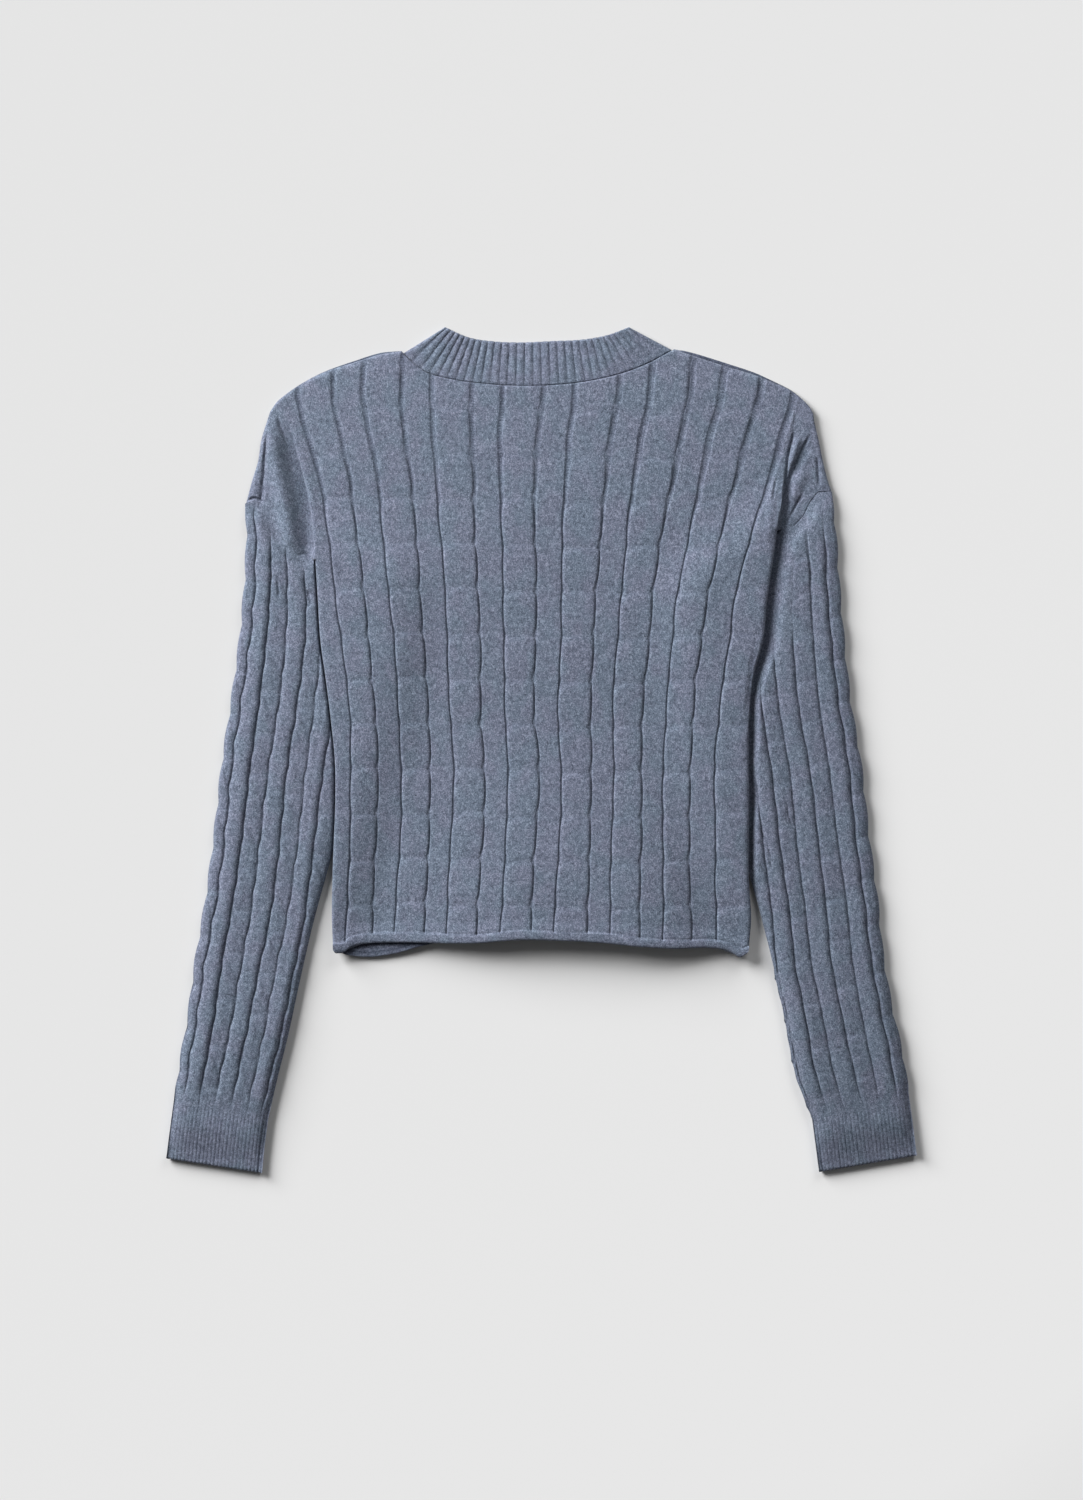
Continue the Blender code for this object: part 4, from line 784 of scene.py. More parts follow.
def link(tree, source, target):
    tree.links.new(source, target)


def fill(tree, node, values):
    """Gives a node its inputs, which are sockets to link from or plain values."""
    for name, value in values.items():
        if isinstance(value, bpy.types.NodeSocket):
            link(tree, value, node.inputs[name])
        else:
            node.inputs[name].default_value = value
    return node


def math_node(tree, operation, *values):
    node = tree.nodes.new("ShaderNodeMath")
    node.operation = operation
    return fill(tree, node, dict(enumerate(values))).outputs[0]


def new_group(name, inputs, outputs):
    """An empty node group, from tables of its sockets' names and kinds."""
    group = bpy.data.node_groups.new(name, "ShaderNodeTree")
    for way, sockets in (("INPUT", inputs), ("OUTPUT", outputs)):
        for socket, kind in sockets.items():
            group.interface.new_socket(socket, in_out=way, socket_type="NodeSocket" + kind)
    given = group.nodes.new("NodeGroupInput").outputs
    return group, given, group.nodes.new("NodeGroupOutput").inputs


def group_node(tree, group, values):
    node = tree.nodes.new("ShaderNodeGroup")
    node.node_tree = group
    return fill(tree, node, values).outputs


def colour_ramp(tree, amount, stops):
    """A colour ramp over a table of places and colours."""
    node = fill(tree, tree.nodes.new("ShaderNodeValToRGB"), {"Fac": amount})
    elements = node.color_ramp.elements
    first, *middle, last = stops
    for element, (place, colour) in zip((elements[0], elements[1]), (first, last)):
        element.position, element.color = place, (*colour, 1)
    for place, colour in middle:
        elements.new(place).color = (*colour, 1)
    return node.outputs["Color"]


def multiply_colours(tree, part, first, second):
    node = tree.nodes.new("ShaderNodeMix")
    node.data_type, node.blend_type = "RGBA", "MULTIPLY"
    return fill(tree, node, {"Factor": part, "A": first, "B": second}).outputs["Result"]


def stitch_group():
    """Rows of V-shaped stitches over the cloth's own coordinates, in millimetres."""
    names = ("Across", "Along", "Stitch Width", "Stitch Height")
    group, given, result = new_group(
        "knit_stitches", {name: "Float" for name in names}, {"Height": "Float"})
    column = math_node(group, "DIVIDE", given["Across"], given["Stitch Width"])
    column = math_node(group, "FRACT", column)
    aside = math_node(group, "ABSOLUTE", math_node(group, "SUBTRACT", column, 0.5))
    row = math_node(group, "DIVIDE", given["Along"], given["Stitch Height"])
    slant = math_node(group, "MULTIPLY", aside, STITCH_SLANT)
    slanted = math_node(group, "SUBTRACT", row, slant)
    wave_place = math_node(group, "MULTIPLY", slanted, math.pi)
    row_wave = math_node(group, "ABSOLUTE", math_node(group, "SINE", wave_place))
    leg = math_node(group, "SINE", math_node(group, "MULTIPLY", aside, 2 * math.pi))
    link(group, math_node(group, "MULTIPLY", row_wave, leg), result["Height"])
    return group


def heather_group():
    """Light and dark fibres in short flecks, and slow patches where the blend changes."""
    group, given, result = new_group(
        "heather", {"Vector": "Vector"}, {"Flecks": "Float", "Patches": "Float"})

    def noise(look):
        vector = group.nodes.new("ShaderNodeVectorMath")
        vector.operation = "MULTIPLY"
        fill(group, vector, {0: given["Vector"], 1: (1.0, look.stretch, 1.0)})
        return fill(group, group.nodes.new("ShaderNodeTexNoise"), {
            "Vector": vector.outputs[0], "Scale": look.scale, "Detail": 2.0,
            "Roughness": look.roughness, "Distortion": look.distortion}).outputs["Fac"]

    flecks = [math_node(group, "MULTIPLY", noise(look), part)
              for look, part in zip((FINE_FLECKS, BROAD_FLECKS), FLECK_PARTS)]
    link(group, math_node(group, "ADD", *flecks), result["Flecks"])
    link(group, noise(BLEND_PATCHES), result["Patches"])
    return group


def stitch_heights(tree, stitches, cloth_parts, size):
    """The height of the stitches of one size over the cloth."""
    width, height = size
    return group_node(tree, stitches, {
        "Across": cloth_parts["X"], "Along": cloth_parts["Y"],
        "Stitch Width": width, "Stitch Height": height})["Height"]


def yarn_material():
    """Soft heathered yarn: blended light and dark fibres and stitches, with shade painted darker
    into grooves, creases and folds.
    """
    material = bpy.data.materials.new("heathered_yarn")
    material.use_nodes = True
    tree = material.node_tree
    place = tree.nodes.new("ShaderNodeTexCoord").outputs["Object"]
    cloth = tree.nodes.new("ShaderNodeAttribute")
    cloth.attribute_name = "cloth"
    parts = tree.nodes.new("ShaderNodeSeparateXYZ")
    parts = fill(tree, parts, {0: cloth.outputs["Color"]}).outputs

    heather = group_node(tree, heather_group(), {"Vector": place})
    fibres = colour_ramp(tree, heather["Flecks"], (
        (0.34, DARK_FIBRE), (0.5, MIDDLE_FIBRE), (0.66, LIGHT_FIBRE)))
    patches = colour_ramp(tree, heather["Patches"], ((0.38, COOL_PATCH), (0.62, WARM_PATCH)))
    blend = multiply_colours(tree, 1.0, fibres, patches)

    stitches = stitch_group()
    purl = stitch_heights(tree, stitches, parts, PURL_STITCH)
    dots = math_node(tree, "MULTIPLY", cloth.outputs["Alpha"],
                     math_node(tree, "ADD", purl, LEAST_DOT))
    # Painted shade: the corners' shade and the purl dots darken the yarn towards the shade colour.
    shade = math_node(tree, "MULTIPLY", parts["Z"], GROOVE_SHADE)
    shade = math_node(tree, "ADD", shade, math_node(tree, "MULTIPLY", dots, PURL_SHADE))
    colour = multiply_colours(tree, shade, blend, (*SHADE_COLOUR, 1))

    fibre_relief = math_node(tree, "MULTIPLY", heather["Flecks"], FLECK_RELIEF)
    knit = stitch_heights(tree, stitches, parts, KNIT_STITCH)
    bump = fill(tree, tree.nodes.new("ShaderNodeBump"), {
        "Strength": BUMP, "Distance": BUMP_METRES,
        "Height": math_node(tree, "ADD", knit, fibre_relief)})
    fill(tree, tree.nodes["Principled BSDF"], {
        "Base Color": colour, "Roughness": 0.92, "Specular IOR Level": 0.25,
        "Sheen Weight": 0.12, "Sheen Roughness": 0.5, "Normal": bump.outputs["Normal"]})
    return material


YARN = yarn_material()


# ------------------------------------------------------------------ body panels
EDGE_ROUND = 3.6            # a panel's edge rounds down over this width
EDGE_LEAST, NECK_LEAST = 0.1, 0.62      # to this part of its cloth at its sides, and at the neck
NECK_EDGE, SHOULDER_EDGE = 2.4, 0.8     # a millimetre from its head line counts as this many
NECK_EASE, ABOVE_WAIST = 4, 200         # how softly the neck's ends start, and a height below it
PIT_PACE, PIT_BEND, BEND_PACE = 2.1, 2.0, 0.63      # how close the neck seam's pits lie, unevenly
PIT_REACH = 2.2
YOKE_FLATNESS = 0.62        # how much shallower the grooves are at the yoke

HEM_ROLL, ROLL_WIDTH = 3.1, 5.4         # how thick the hem's roll is, and how far in its top lies
ROLL_ROUND, ROLL_EDGE = 2.4, 0.6        # it rounds over this width, from this part of its height
ROLL_BACK = (0.8, 1.8)      # how far behind its top it starts to end, and over which width
ROLL_DIP, DIP_END = 0.35, (8.0, 2.0)    # how much thinner the cloth behind it is, and up to where
ROLL_VARIES = 0.10          # how much its width varies along the hem
ROLL_WAVE = (17.0, 2.0, 43.0)
HEM_DEPTH = 10.5            # the hem's own form ends here
KNIT_START = (6.6, 1.2)     # where the shade of the grooves starts, and over which width
CORNER_ROUND = 4.2          # how round the hem's two corners are
CORNER_EDGE, CORNER_WIDTH = 0.4, 12.0   # from how far below the edge, and how far along it

SEAM_ROUND = 1.2            # how far from the armhole seam the shoulder dips
FOLD_PURL = 0.15            # how far the purl ground shows in a fold, for each millimetre
FRONT_ROUND = 2.0           # the front's edges round off over this width
FRONT_UNDER, FRONT_OVER = 0.8, 0.7      # by so much below and above
FRONT_HEM_EDGE = 0.3        # along the hem, they start this far in
FRONT_SLIT = (3.6, 0.7)     # the line of shade painted along the front's hem: its place and half its width
FRONT_HIDDEN = (-2.5, 1.5)  # from where painted shade lies under the back's edge, and over which width
FRONT_SHADE, SLIT_SHADE, DARKEST = 0.25, 1.1, 1.3   # shade painted on its plain side, what a slit adds, the most
PLAIN_PURL = 0.5            # how far the plain side shows the purl ground
SHOULDER_SHADE = 0.1        # the shade painted on the front's shoulders, under the back
FRONT_ROWS = np.r_[0:14, 16:ROWS - 8:COARSE, ROWS - 8:ROWS + 1]     # kept on the plain side
FRONT_CELLS = 4             # the columns of cells there that make one

ShoulderSide = namedtuple("ShoulderSide", "fold sign outline armhole seam_part")
SHOULDER_SIDES = (
    ShoulderSide(0, -1, LEFT_OUTLINE, LEFT_ARMHOLE, 0.97),
    ShoulderSide(-1, 1, RIGHT_OUTLINE, RIGHT_ARMHOLE, 0.86),
)


def hem_profile(x, up, cloth):
    """The cloth's thickness over the softly rolled hem, by the distance from its edge."""
    up = up * (1 + ROLL_VARIES * uneven_wave(x, *ROLL_WAVE))
    roll = HEM_ROLL * between(ROLL_EDGE, 1.0, round_over(up, ROLL_ROUND))
    behind = cloth - ROLL_DIP * (1 - rising(up, *DIP_END))
    return between(roll, behind, rising(up - ROLL_WIDTH, *ROLL_BACK))


def round_corners(x, up):
    """Draws the two lower corners in, so that they are round."""
    inset = CORNER_ROUND * (1 - round_over(up + CORNER_EDGE, CORNER_ROUND))
    on_left = 1 - smooth((x - x[:, :1]) / CORNER_WIDTH)
    on_right = 1 - smooth((x[:, -1:] - x) / CORNER_WIDTH)
    return x + inset * (on_left - on_right)


def body_heights(y):
    """The relief of a body panel, the shade painted at each corner, and the open purl channels."""
    repeats = body_repeats(y, BODY_COLUMNS.band)
    x, width, across, left, right = body_places(y)
    _, open_up = yoke_channel(x, y)
    relief, _ = knit_relief(BODY_COLUMNS, across, width, left, right, repeats, BODY_KNIT)
    relief = between(relief, BODY_KNIT.rib, YOKE_FLATNESS * open_up)
    relief = relief + oval_rise(BODY_COLUMNS, repeats, across)
    return relief, *knit_shade(BODY_COLUMNS, repeats, open_up)


def edge_distance(x, y, head):
    """The distance from a panel's free edges: its sides below the armholes and its head."""
    below = np.arange(ROWS + 1)[:, None] <= CORNER_ROW
    sides = np.minimum(x - left_side(y), right_side(y) - x)
    at_neck = (x > NECK_SEAM[0].x) & (x < NECK_SEAM[-1].x)
    from_head = (head(x) - y) * np.where(at_neck, NECK_EDGE, SHOULDER_EDGE)
    return np.minimum(np.where(below, sides, FAR), from_head)


def round_down(wall, edge, least):
    """Thins the cloth towards an edge."""
    return EDGE_WALL + (wall - EDGE_WALL) * between(least, 1.0, round_over(edge, EDGE_ROUND))


def cloth_across(x):
    """The unstretched distance across the cloth, from a row at the waist."""
    waist = x[WAIST_ROW]
    return np.cumsum(np.diff(waist, prepend=waist[0])) * np.ones_like(x)


def back_cloth(x, y, relief):
    """The back's cloth with its creases and folds, the shade painted into them, and how deep the
    folds.
    """
    creased = crease_relief(BACK_CREASES, x, y)
    dropped = fold_drop(BACK_FOLDS, x, y)
    wall = CLOTH + relief + creased - dropped + ripples(x, y)
    return wall, crease_shade(creased, dropped), dropped


def shoulder_block(side, x, y, head):
    """The corners outside a body fold, how far each lies from the fold as a part, from the
    free edges, and across the cloth."""
    fold_x, fold_y = x[CORNER_ROW:, side.fold], y[CORNER_ROW:, side.fold]
    block_x, block_y, part = shoulder_plan(fold_x, fold_y, side.outline, side.armhole, head)
    from_outline = np.abs(block_x - block_x[:, -1:]) + 0.5 * np.abs(block_y - block_y[:, -1:])
    edge = np.minimum(from_outline, (head(block_x) - block_y) * SHOULDER_EDGE)
    run = cloth_across(x)[0, side.fold] + side.sign * np.abs(block_x - block_x[:, :1])
    return block_x, block_y, part, edge, run


def close_panel(name, bm, node):
    """Joins a panel's two sides along its edge."""
    weld(bm)
    bmesh.ops.bridge_loops(bm, edges=[edge for edge in bm.edges if edge.is_boundary])
    return finish_piece(name, bm, node)


def lay_back(bm, layer, x, y, wall, cloth):
    """The back's knitted side, upwards, and its plain inside in larger cells."""
    inside = back_inside(x, y)
    lay_grid(bm, layer, stack(x, y, inside + wall), cloth)
    plain = np.s_[::COARSE, ::COARSE]
    lay_grid(bm, layer, stack(x, y, inside)[plain], cloth[plain], face_down=True)


def back_shoulder(bm, layer, side, x, y, wall):
    """The back outside one body fold, which has creases in place of cables."""
    block_x, block_y, part, edge, run = shoulder_block(side, x, y, back_head)
    lie, shade, dropped = back_cloth(block_x, block_y, BODY_KNIT.rib)
    seam = np.hypot(block_x - block_x[:1], block_y - block_y[:1])
    dip = between(side.seam_part, 1.0, round_over(seam, SEAM_ROUND))
    lie = np.maximum(round_down(lie, edge, EDGE_LEAST) * dip, LEAST_WALL)
    lie = np.where(part == 0, wall[CORNER_ROW:, side.fold][:, None], lie)
    weave = stack(run, block_y, shade, FOLD_PURL * dropped)
    lay_back(bm, layer, *[array[:, ::side.sign] for array in (block_x, block_y, lie, weave)])


def make_back():
    """The back panel: cables and ribs over a plain inside, with its hem rolled over."""
    bm, layer = new_cloth()
    x, y = body_plan(back_head, back_hem)
    relief, painted_shade, purl = body_heights(y)
    wall, shade, _ = back_cloth(x, y, relief)
    ends = smooth((x - NECK_SEAM[0].x) / NECK_EASE) * smooth((NECK_SEAM[-1].x - x) / NECK_EASE)
    at_neck = ends * (y > ABOVE_WAIST)
    edge = edge_distance(x, y, back_head)
    wall = round_down(wall, edge, between(EDGE_LEAST, NECK_LEAST, at_neck))
    up = y - y[:1]
    wall = np.where(up < HEM_DEPTH, hem_profile(x, up, wall), wall)
    wall = np.maximum(wall, LEAST_WALL)
    x = round_corners(x, up)
    painted_shade = np.maximum(painted_shade, shade) * rising(up, *KNIT_START)
    # Painted shade in the pits of the stitches along the neck seam.
    pits = 0.5 + 0.5 * np.sin(x * PIT_PACE + PIT_BEND * np.sin(x * BEND_PACE))
    pits = SEAM_SHADE * pits
    by_neck = (1 - smooth((back_head(x) - y) / PIT_REACH)) * at_neck
    painted_shade = np.maximum(painted_shade, pits * by_neck)
    lay_back(bm, layer, x, y, wall, stack(cloth_across(x), y, painted_shade, purl))
    for side in SHOULDER_SIDES:
        back_shoulder(bm, layer, side, x, y, wall)
    return close_panel("back_knit", bm, "back_panel")


def front_sides(x, y, edge):
    """The heights of the front's lower and upper side, rounded off along its edges."""
    off = 1 - round_over(edge, FRONT_ROUND)
    return body_base(x, y) + FRONT_UNDER * off, front_top(x, y) - FRONT_OVER * off


def front_shoulder(bm, layer, side, x, y, low, top):
    """The front outside one body fold."""
    block_x, block_y, _, edge, run = shoulder_block(side, x, y, front_head)
    low_here, top_here = front_sides(block_x, block_y, edge)
    low_here[:, 0], top_here[:, 0] = low[CORNER_ROW:, side.fold], top[CORNER_ROW:, side.fold]
    turned = np.s_[:, ::side.sign]
    weave = stack(run, block_y, SHOULDER_SHADE, 0.0)[turned]
    lay_grid(bm, layer, stack(block_x, block_y, low_here)[turned][::2], weave[::2], True)
    kept = FRONT_ROWS[FRONT_ROWS >= CORNER_ROW] - CORNER_ROW
    lay_grid(bm, layer, stack(block_x, block_y, top_here)[turned][kept], weave[kept])


def make_front():
    """The front panel: its knitted side lies on the surface, and its plain side is upwards."""
    bm, layer = new_cloth()
    x, y = body_plan(front_head, front_hem)
    _, painted_shade, purl = body_heights(y)
    up = y - y[:1]
    edge = np.minimum(edge_distance(x, y, front_head), up + FRONT_HEM_EDGE)
    x = round_corners(x, up)
    low, top = front_sides(x, y, edge)
    low = low + UNDER_GROOVE * painted_shade
    top = np.maximum(top, low + EDGE_WALL)
    slit_place, slit_width = FRONT_SLIT
    # Painted shade: a dark line along the hem's fold, and shade where the back lies over the front.
    dark = np.exp(-((up - slit_place) / slit_width) ** 2) + rising(y - back_hem(x), *FRONT_HIDDEN)
    shade = np.clip(FRONT_SHADE + SLIT_SHADE * dark, 0.0, DARKEST)
    knitted = stack(cloth_across(x), y, painted_shade, purl)
    plain = stack(cloth_across(x), y, shade, PLAIN_PURL)
    lay_grid(bm, layer, stack(x, y, low)[::2], knitted[::2], face_down=True)
    kept = np.ix_(FRONT_ROWS, range(0, x.shape[1], FRONT_CELLS))
    lay_grid(bm, layer, stack(x, y, top)[kept], plain[kept])
    for side in SHOULDER_SIDES:
        front_shoulder(bm, layer, side, x, y, low, top)
    return close_panel("front_knit", bm, "front_panel")


# ------------------------------------------------------------------ flat tubes
FOLD_ROUND = 3.2            # a tube's folded edge rounds over this width
TUBE_SLIT = 0.4             # the least air inside a sleeve or cuff
SLIT_MARGIN = 2.4           # the slit ends this far from a fold
UNDER_EASE = 3.0            # how far from a fold the ribs underneath reach their full depth
END_RISE, END_ROUND = 0.7, 1.8      # how a tube's lower side rounds up at its open end
Edges = namedtuple("Edges", "along ahead outer_x outer_y inner_x inner_y width")


def tube_edges(stations, rows):
    """Rows along a tube: how far along each lies, how far from the end, its edges and width."""
    steps = [math.hypot(b.outer_x - a.outer_x, b.outer_y - a.outer_y)
             for a, b in zip(stations, stations[1:])]
    reach = np.concatenate([[0.0], np.cumsum(steps)])
    along = np.linspace(0, reach[-1], rows + 1)[:, None]
    edges = [curve(list(zip(reach, values)))(along) for values in zip(*stations)]
    width = np.hypot(edges[2] - edges[0], edges[3] - edges[1])
    return Edges(along, reach[-1] - along, *edges, width)


def across_tube(edges, part):
    """The place at a part of the tube's width."""
    return between(edges.outer_x, edges.inner_x, part), between(edges.outer_y, edges.inner_y, part)


def ribs(phase, fullness):
    """Ribs side by side, 0 in a groove and 1 on top. The smaller the power, the fuller."""
    return np.abs(np.sin(math.pi * phase)) ** fullness


def arch(part):
    """A flat tube's round crown, 0 at its folds."""
    return 1 - (2 * part - 1) ** 8


def round_fold(top, fold, fold_height):
    """Brings a tube's upper side down to the height of its folded edges."""
    return between(fold_height, top, round_over(fold, FOLD_ROUND))


def underside(groove, rib, fold, fold_height, fold_round, ahead):
    """A tube's lower side: ribs pressed on the surface, round at its folds and its open end."""
    low = groove * (1 - rib) * smooth(fold / UNDER_EASE)
    low = low + fold_height * (1 - round_over(fold, fold_round))
    return low + END_RISE * (1 - round_over(ahead, END_ROUND))


def slit(plan, part, width, height):
    """One side of the slit inside a flat tube, which ends short of both folds."""
    margin = SLIT_MARGIN / width
    inset = np.maximum(0, margin - part / 2) - np.maximum(0, margin - (1 - part) / 2)
    return stack(*plan(part + inset), height)


def wrap(upper, lower):
    """Joins an upper and a lower surface, each from the outer fold to the inner one, in a ring."""
    return np.concatenate([upper, lower[:, -2:0:-1], upper[:, :1]], axis=1)


def as_laid(sign, *rings):
    """Turns the rings of a left or right tube so that its outside faces outwards."""
    return [ring[::-1, ::-sign] for ring in rings]


def make_tube(name, node, outer, inner, cloth, coarse=COARSE):
    """A flattened tube, open at both ends. The arrays are rings of corners, row by row."""
    bm, layer = new_cloth()
    lay_grid(bm, layer, outer, cloth)
    kept = np.ix_(*[sorted({*range(0, count - 1, coarse), count - 1})
                    for count in outer.shape[:2]])
    lay_grid(bm, layer, inner[kept], cloth[kept], face_down=True)
    weld(bm)
    middle = (cloth[0, 0, 1] + cloth[-1, 0, 1]) / 2
    open_edges = [edge for edge in bm.edges if edge.is_boundary]
    for is_near in (True, False):
        end = [edge for edge in open_edges if (edge.verts[0][layer][1] < middle) == is_near]
        bmesh.ops.bridge_loops(bm, edges=end)
    return finish_piece(name, bm, node)


# ------------------------------------------------------------------ cuffs
CUFF_RIBS, CUFF_COLUMNS_A_RIB = 26, 8
CUFF_ROWS = 40
CUFF_WALL, CUFF_RISE = 1.5, 0.34        # its cloth, and how high its ribs stand on it
CUFF_CROWN = 5.4            # how high it is round
CUFF_MOUTH, MOUTH_LENGTH = 0.2, 34      # how much of that is left at its opening, and from where
CUFF_EDGE, CUFF_EDGE_ROUND = 0.62, 2.2  # how much of its cloth is left at its edge
CUFF_FLARE, FLARE_LENGTH = 0.45, 5      # how far the ribs' ends wave, and from where
CUFF_SHADE = 0.26           # how much shade is painted into the cuff's grooves
CUFF_RIPPLE = 0.5           # how much of the cloth's unevenness ribbing shows
INNER_LINE = (3.4, 0.6)     # a groove along the inner fold: its distance and half its width
LINE_LENGTH, LINE_DEPTH, LINE_DARK = 8, 0.5, 0.7    # how slowly it begins, how deep, and how much shade is painted in it
FOLD_HEIGHT = 4.3           # how high the folded edges of a sleeve lie under the body
FREE_FOLD = 1.4             # what is added where it is free of the body
RIB_FOLD_ROUND = 2.4


def cuff_ribs(part, along):
    """The cuff's ribs, from 0 to 1, and how strong each of them is."""
    phase = part * CUFF_RIBS
    return ribs(phase, 0.6), uneven(2.4 * np.floor(phase) + along / 9.0)


def cuff_wall(x, y, rib, strength):
    return CUFF_WALL + CUFF_RISE * between(0.5, rib, strength) + CUFF_RIPPLE * ripples(x, y)


def make_cuff(name, node, stations, sign):
    """A ribbed cuff, as a flat tube."""
    edges = tube_edges(stations, CUFF_ROWS)
    part = np.linspace(0, 1, CUFF_RIBS * CUFF_COLUMNS_A_RIB + 1)[None, :]

    def plan(place):
        return across_tube(edges, place)

    rib, strength = cuff_ribs(part, edges.along)
    x, y = plan(part)
    y = y - CUFF_FLARE * (rib - 0.5) * smooth(1 - edges.ahead / FLARE_LENGTH)
    fold = np.minimum(part, 1 - part) * edges.width
    mouth = between(CUFF_MOUTH, 1.0, smooth(edges.ahead / MOUTH_LENGTH))
    crown = CUFF_CROWN * arch(part) * mouth
    place, half_width = INNER_LINE
    inner_line = np.exp(-(((1 - part) * edges.width - place) / half_width) ** 2)
    inner_line = inner_line * smooth(edges.along / LINE_LENGTH)
    wall = cuff_wall(x, y, rib, strength) - LINE_DEPTH * inner_line
    wall = wall * between(CUFF_EDGE, 1.0, round_over(edges.ahead, CUFF_EDGE_ROUND))
    fold_height = FOLD_HEIGHT + FREE_FOLD
    top = round_fold(PLAIN_WALL + TUBE_SLIT + crown + wall, fold, fold_height)
    low = underside(0.5 * CUFF_RISE, rib, fold, fold_height, RIB_FOLD_ROUND, edges.ahead)
    painted_shade = np.maximum(CUFF_SHADE * (1 - rib) * strength, LINE_DARK * inner_line)
    outer = wrap(stack(x, y, top), stack(x, y, low))
    weave = stack(part * edges.width, -edges.along, painted_shade, 0.0)
    air = (TUBE_SLIT + crown) * round_over(fold, FOLD_ROUND)
    inner = wrap(slit(plan, part, edges.width, PLAIN_WALL + air),
                 slit(plan, part, edges.width, np.full_like(air, PLAIN_WALL)))
    return make_tube(name, node, *as_laid(sign, outer, inner, wrap(weave, weave)))


# ------------------------------------------------------------------ sleeves
SLEEVE_ROWS, SLEEVE_UNDER_COLUMNS = 336, 48
SLEEVE_KINDS = [groove.kind for groove in LEFT_GROOVES] + ["cable"]
SLEEVE_COLUMNS = knit_columns(SLEEVE_KINDS, {"cable": 10, "rib": 5})
SLEEVE_CROWN = 3.0          # how high a sleeve is round
FREE_CROWN, FREE_START, FREE_LENGTH = 1.6, 300.0, 120.0     # what is added where it is free
CROWN_AT_SEAM, CROWN_LENGTH = 0.35, 26      # how much of that there is at the armhole
SCALLOP, SCALLOP_MIDDLE, SCALLOP_EASE = 1.7, 0.6, 20    # the waves of its outer edge
SEAM_FADE = 70.0            # how far down the armhole's form bends the rows
FIRST_REPEAT = 0.3          # where the cables begin, in repeats
BAND_LAG = 0.37             # how much later each next band crosses
PINCH_PART = 0.30           # the part of a repeat over which the grooves draw in
BANDED_WIDTH = 88.0         # where the sleeve is narrower than this, its bands are as well
STRENGTH_RUN = 30.0         # how slowly a groove begins
SLEEVE_SWELL, SWELL_POWER = 0.35, 0.7       # how high the cloth swells between two grooves
OUTER_SWELL = 0.45          # where on the outermost band this begins
SLEEVE_RIPPLE = 0.8         # how much of the cloth's unevenness a sleeve shows
LINE_SHADE = 0.5            # how much shade is painted into the lines between strands, for each millimetre
LOW_BAND_SHADE = 0.16       # the shade painted on the cables that lie low between the ropes of a sleeve
PRESSED_WALL = 1.5          # the sleeve's cloth under the body
SEAM_LEVEL = 16.0           # how far from the armhole the sleeve is level with the body
SEAM_DIP = 1.2              # how wide the seam's own groove is
CUFF_EASE = 30.0            # how far from the cuff the sleeve starts to be level with it
UNDER_RIB, UNDER_FULLNESS = 15.0, 0.5   # how wide the ribs underneath are, and how full
UNDER_SHADE, UNDER_ROUND = 0.6, 2.6     # the shade painted into their grooves, and how round the folds

# Where a sleeve starts to rise beside the body's edge, over which width, how far this wavers,
# how much wider it gets upwards, how much of the body edge's shadow is painted on the cloth
# where it is pressed, and how deep the groove of the armhole seam is.
Press = namedtuple("Press", "start width waver widening shade seam")
SleeveSide = namedtuple("SleeveSide", "sign fold stations armhole grooves knit pinch press")
LEFT_SIDE = SleeveSide(-1, left_side, LEFT_SLEEVE, LEFT_ARMHOLE, LEFT_GROOVES, LEFT_KNIT, 1.0,
                       Press(-0.3, 2.6, 0.1, 0.0, 0.1, 0.05))
RIGHT_SIDE = SleeveSide(1, right_side, RIGHT_SLEEVE, RIGHT_ARMHOLE, RIGHT_GROOVES, RIGHT_KNIT,
                        0.5, Press(2.2, 6.0, 0.7, 9.0, 1.25, 0.25))
WIDENING_TOP = 130.0        # how high the pressed edge is at its widest
PRESS_WAVE = (11.0, 1.6, 27.0)


def body_press(x, y, side):
    """0 where the body lies on a sleeve, 1 where the sleeve is free."""
    press = side.press
    outside = side.sign * (x - side.fold(y))
    below_body = smooth((back_hem(x) + HEM_LIFT_LENGTH - y) / HEM_LIFT_LENGTH)
    start = press.start + press.waver * uneven_wave(y, *PRESS_WAVE)
    width = press.width + press.widening * smooth(y / WIDENING_TOP)
    return np.maximum(smooth((outside - start) / width), below_body)


def sleeve_plan(side, edges, repeats):
    """A function from a part of the sleeve's width to its place in every row."""
    first, last = side.armhole[0], side.armhole[-1]
    fade = np.clip(1 - edges.along / SEAM_FADE, 0, 1) ** 2
    scallop = SCALLOP * (ribs(repeats, 1) - SCALLOP_MIDDLE)
    scallop = scallop * smooth(edges.along / SCALLOP_EASE) * smooth(edges.ahead / SCALLOP_EASE)

    def plan(part):
        seam_x, seam_y = armhole_at(side.armhole, part)
        x, y = across_tube(edges, part)
        x = x + (seam_x - between(first.x, last.x, part)) * fade
        y = y + (seam_y - between(first.y, last.y, part)) * fade
        return x + side.sign * scallop * (1 - part) ** 6, y

    return plan


def sleeve_bands(side, edges, repeats):
    """The two edges of every column's band, measured from the sleeve's outer edge."""
    numbers = np.arange(len(side.grooves))
    phase = repeats + BAND_LAG * (numbers + 1 - numbers % 2)
    pinch = side.pinch * (1 - smooth(np.abs(phase - np.round(phase)) / PINCH_PART))
    shift = np.where(numbers % 2 == 0, -pinch, pinch) + wave(SLEEVE_WAVE, edges.along, numbers)
    places = np.array([groove.place for groove in side.grooves]) + shift
    places = places * np.minimum(1.0, edges.width / BANDED_WIDTH)
    places = np.concatenate([np.zeros_like(edges.along), places, edges.width], axis=1)
    return places[:, SLEEVE_COLUMNS.band], places[:, SLEEVE_COLUMNS.band + 1]


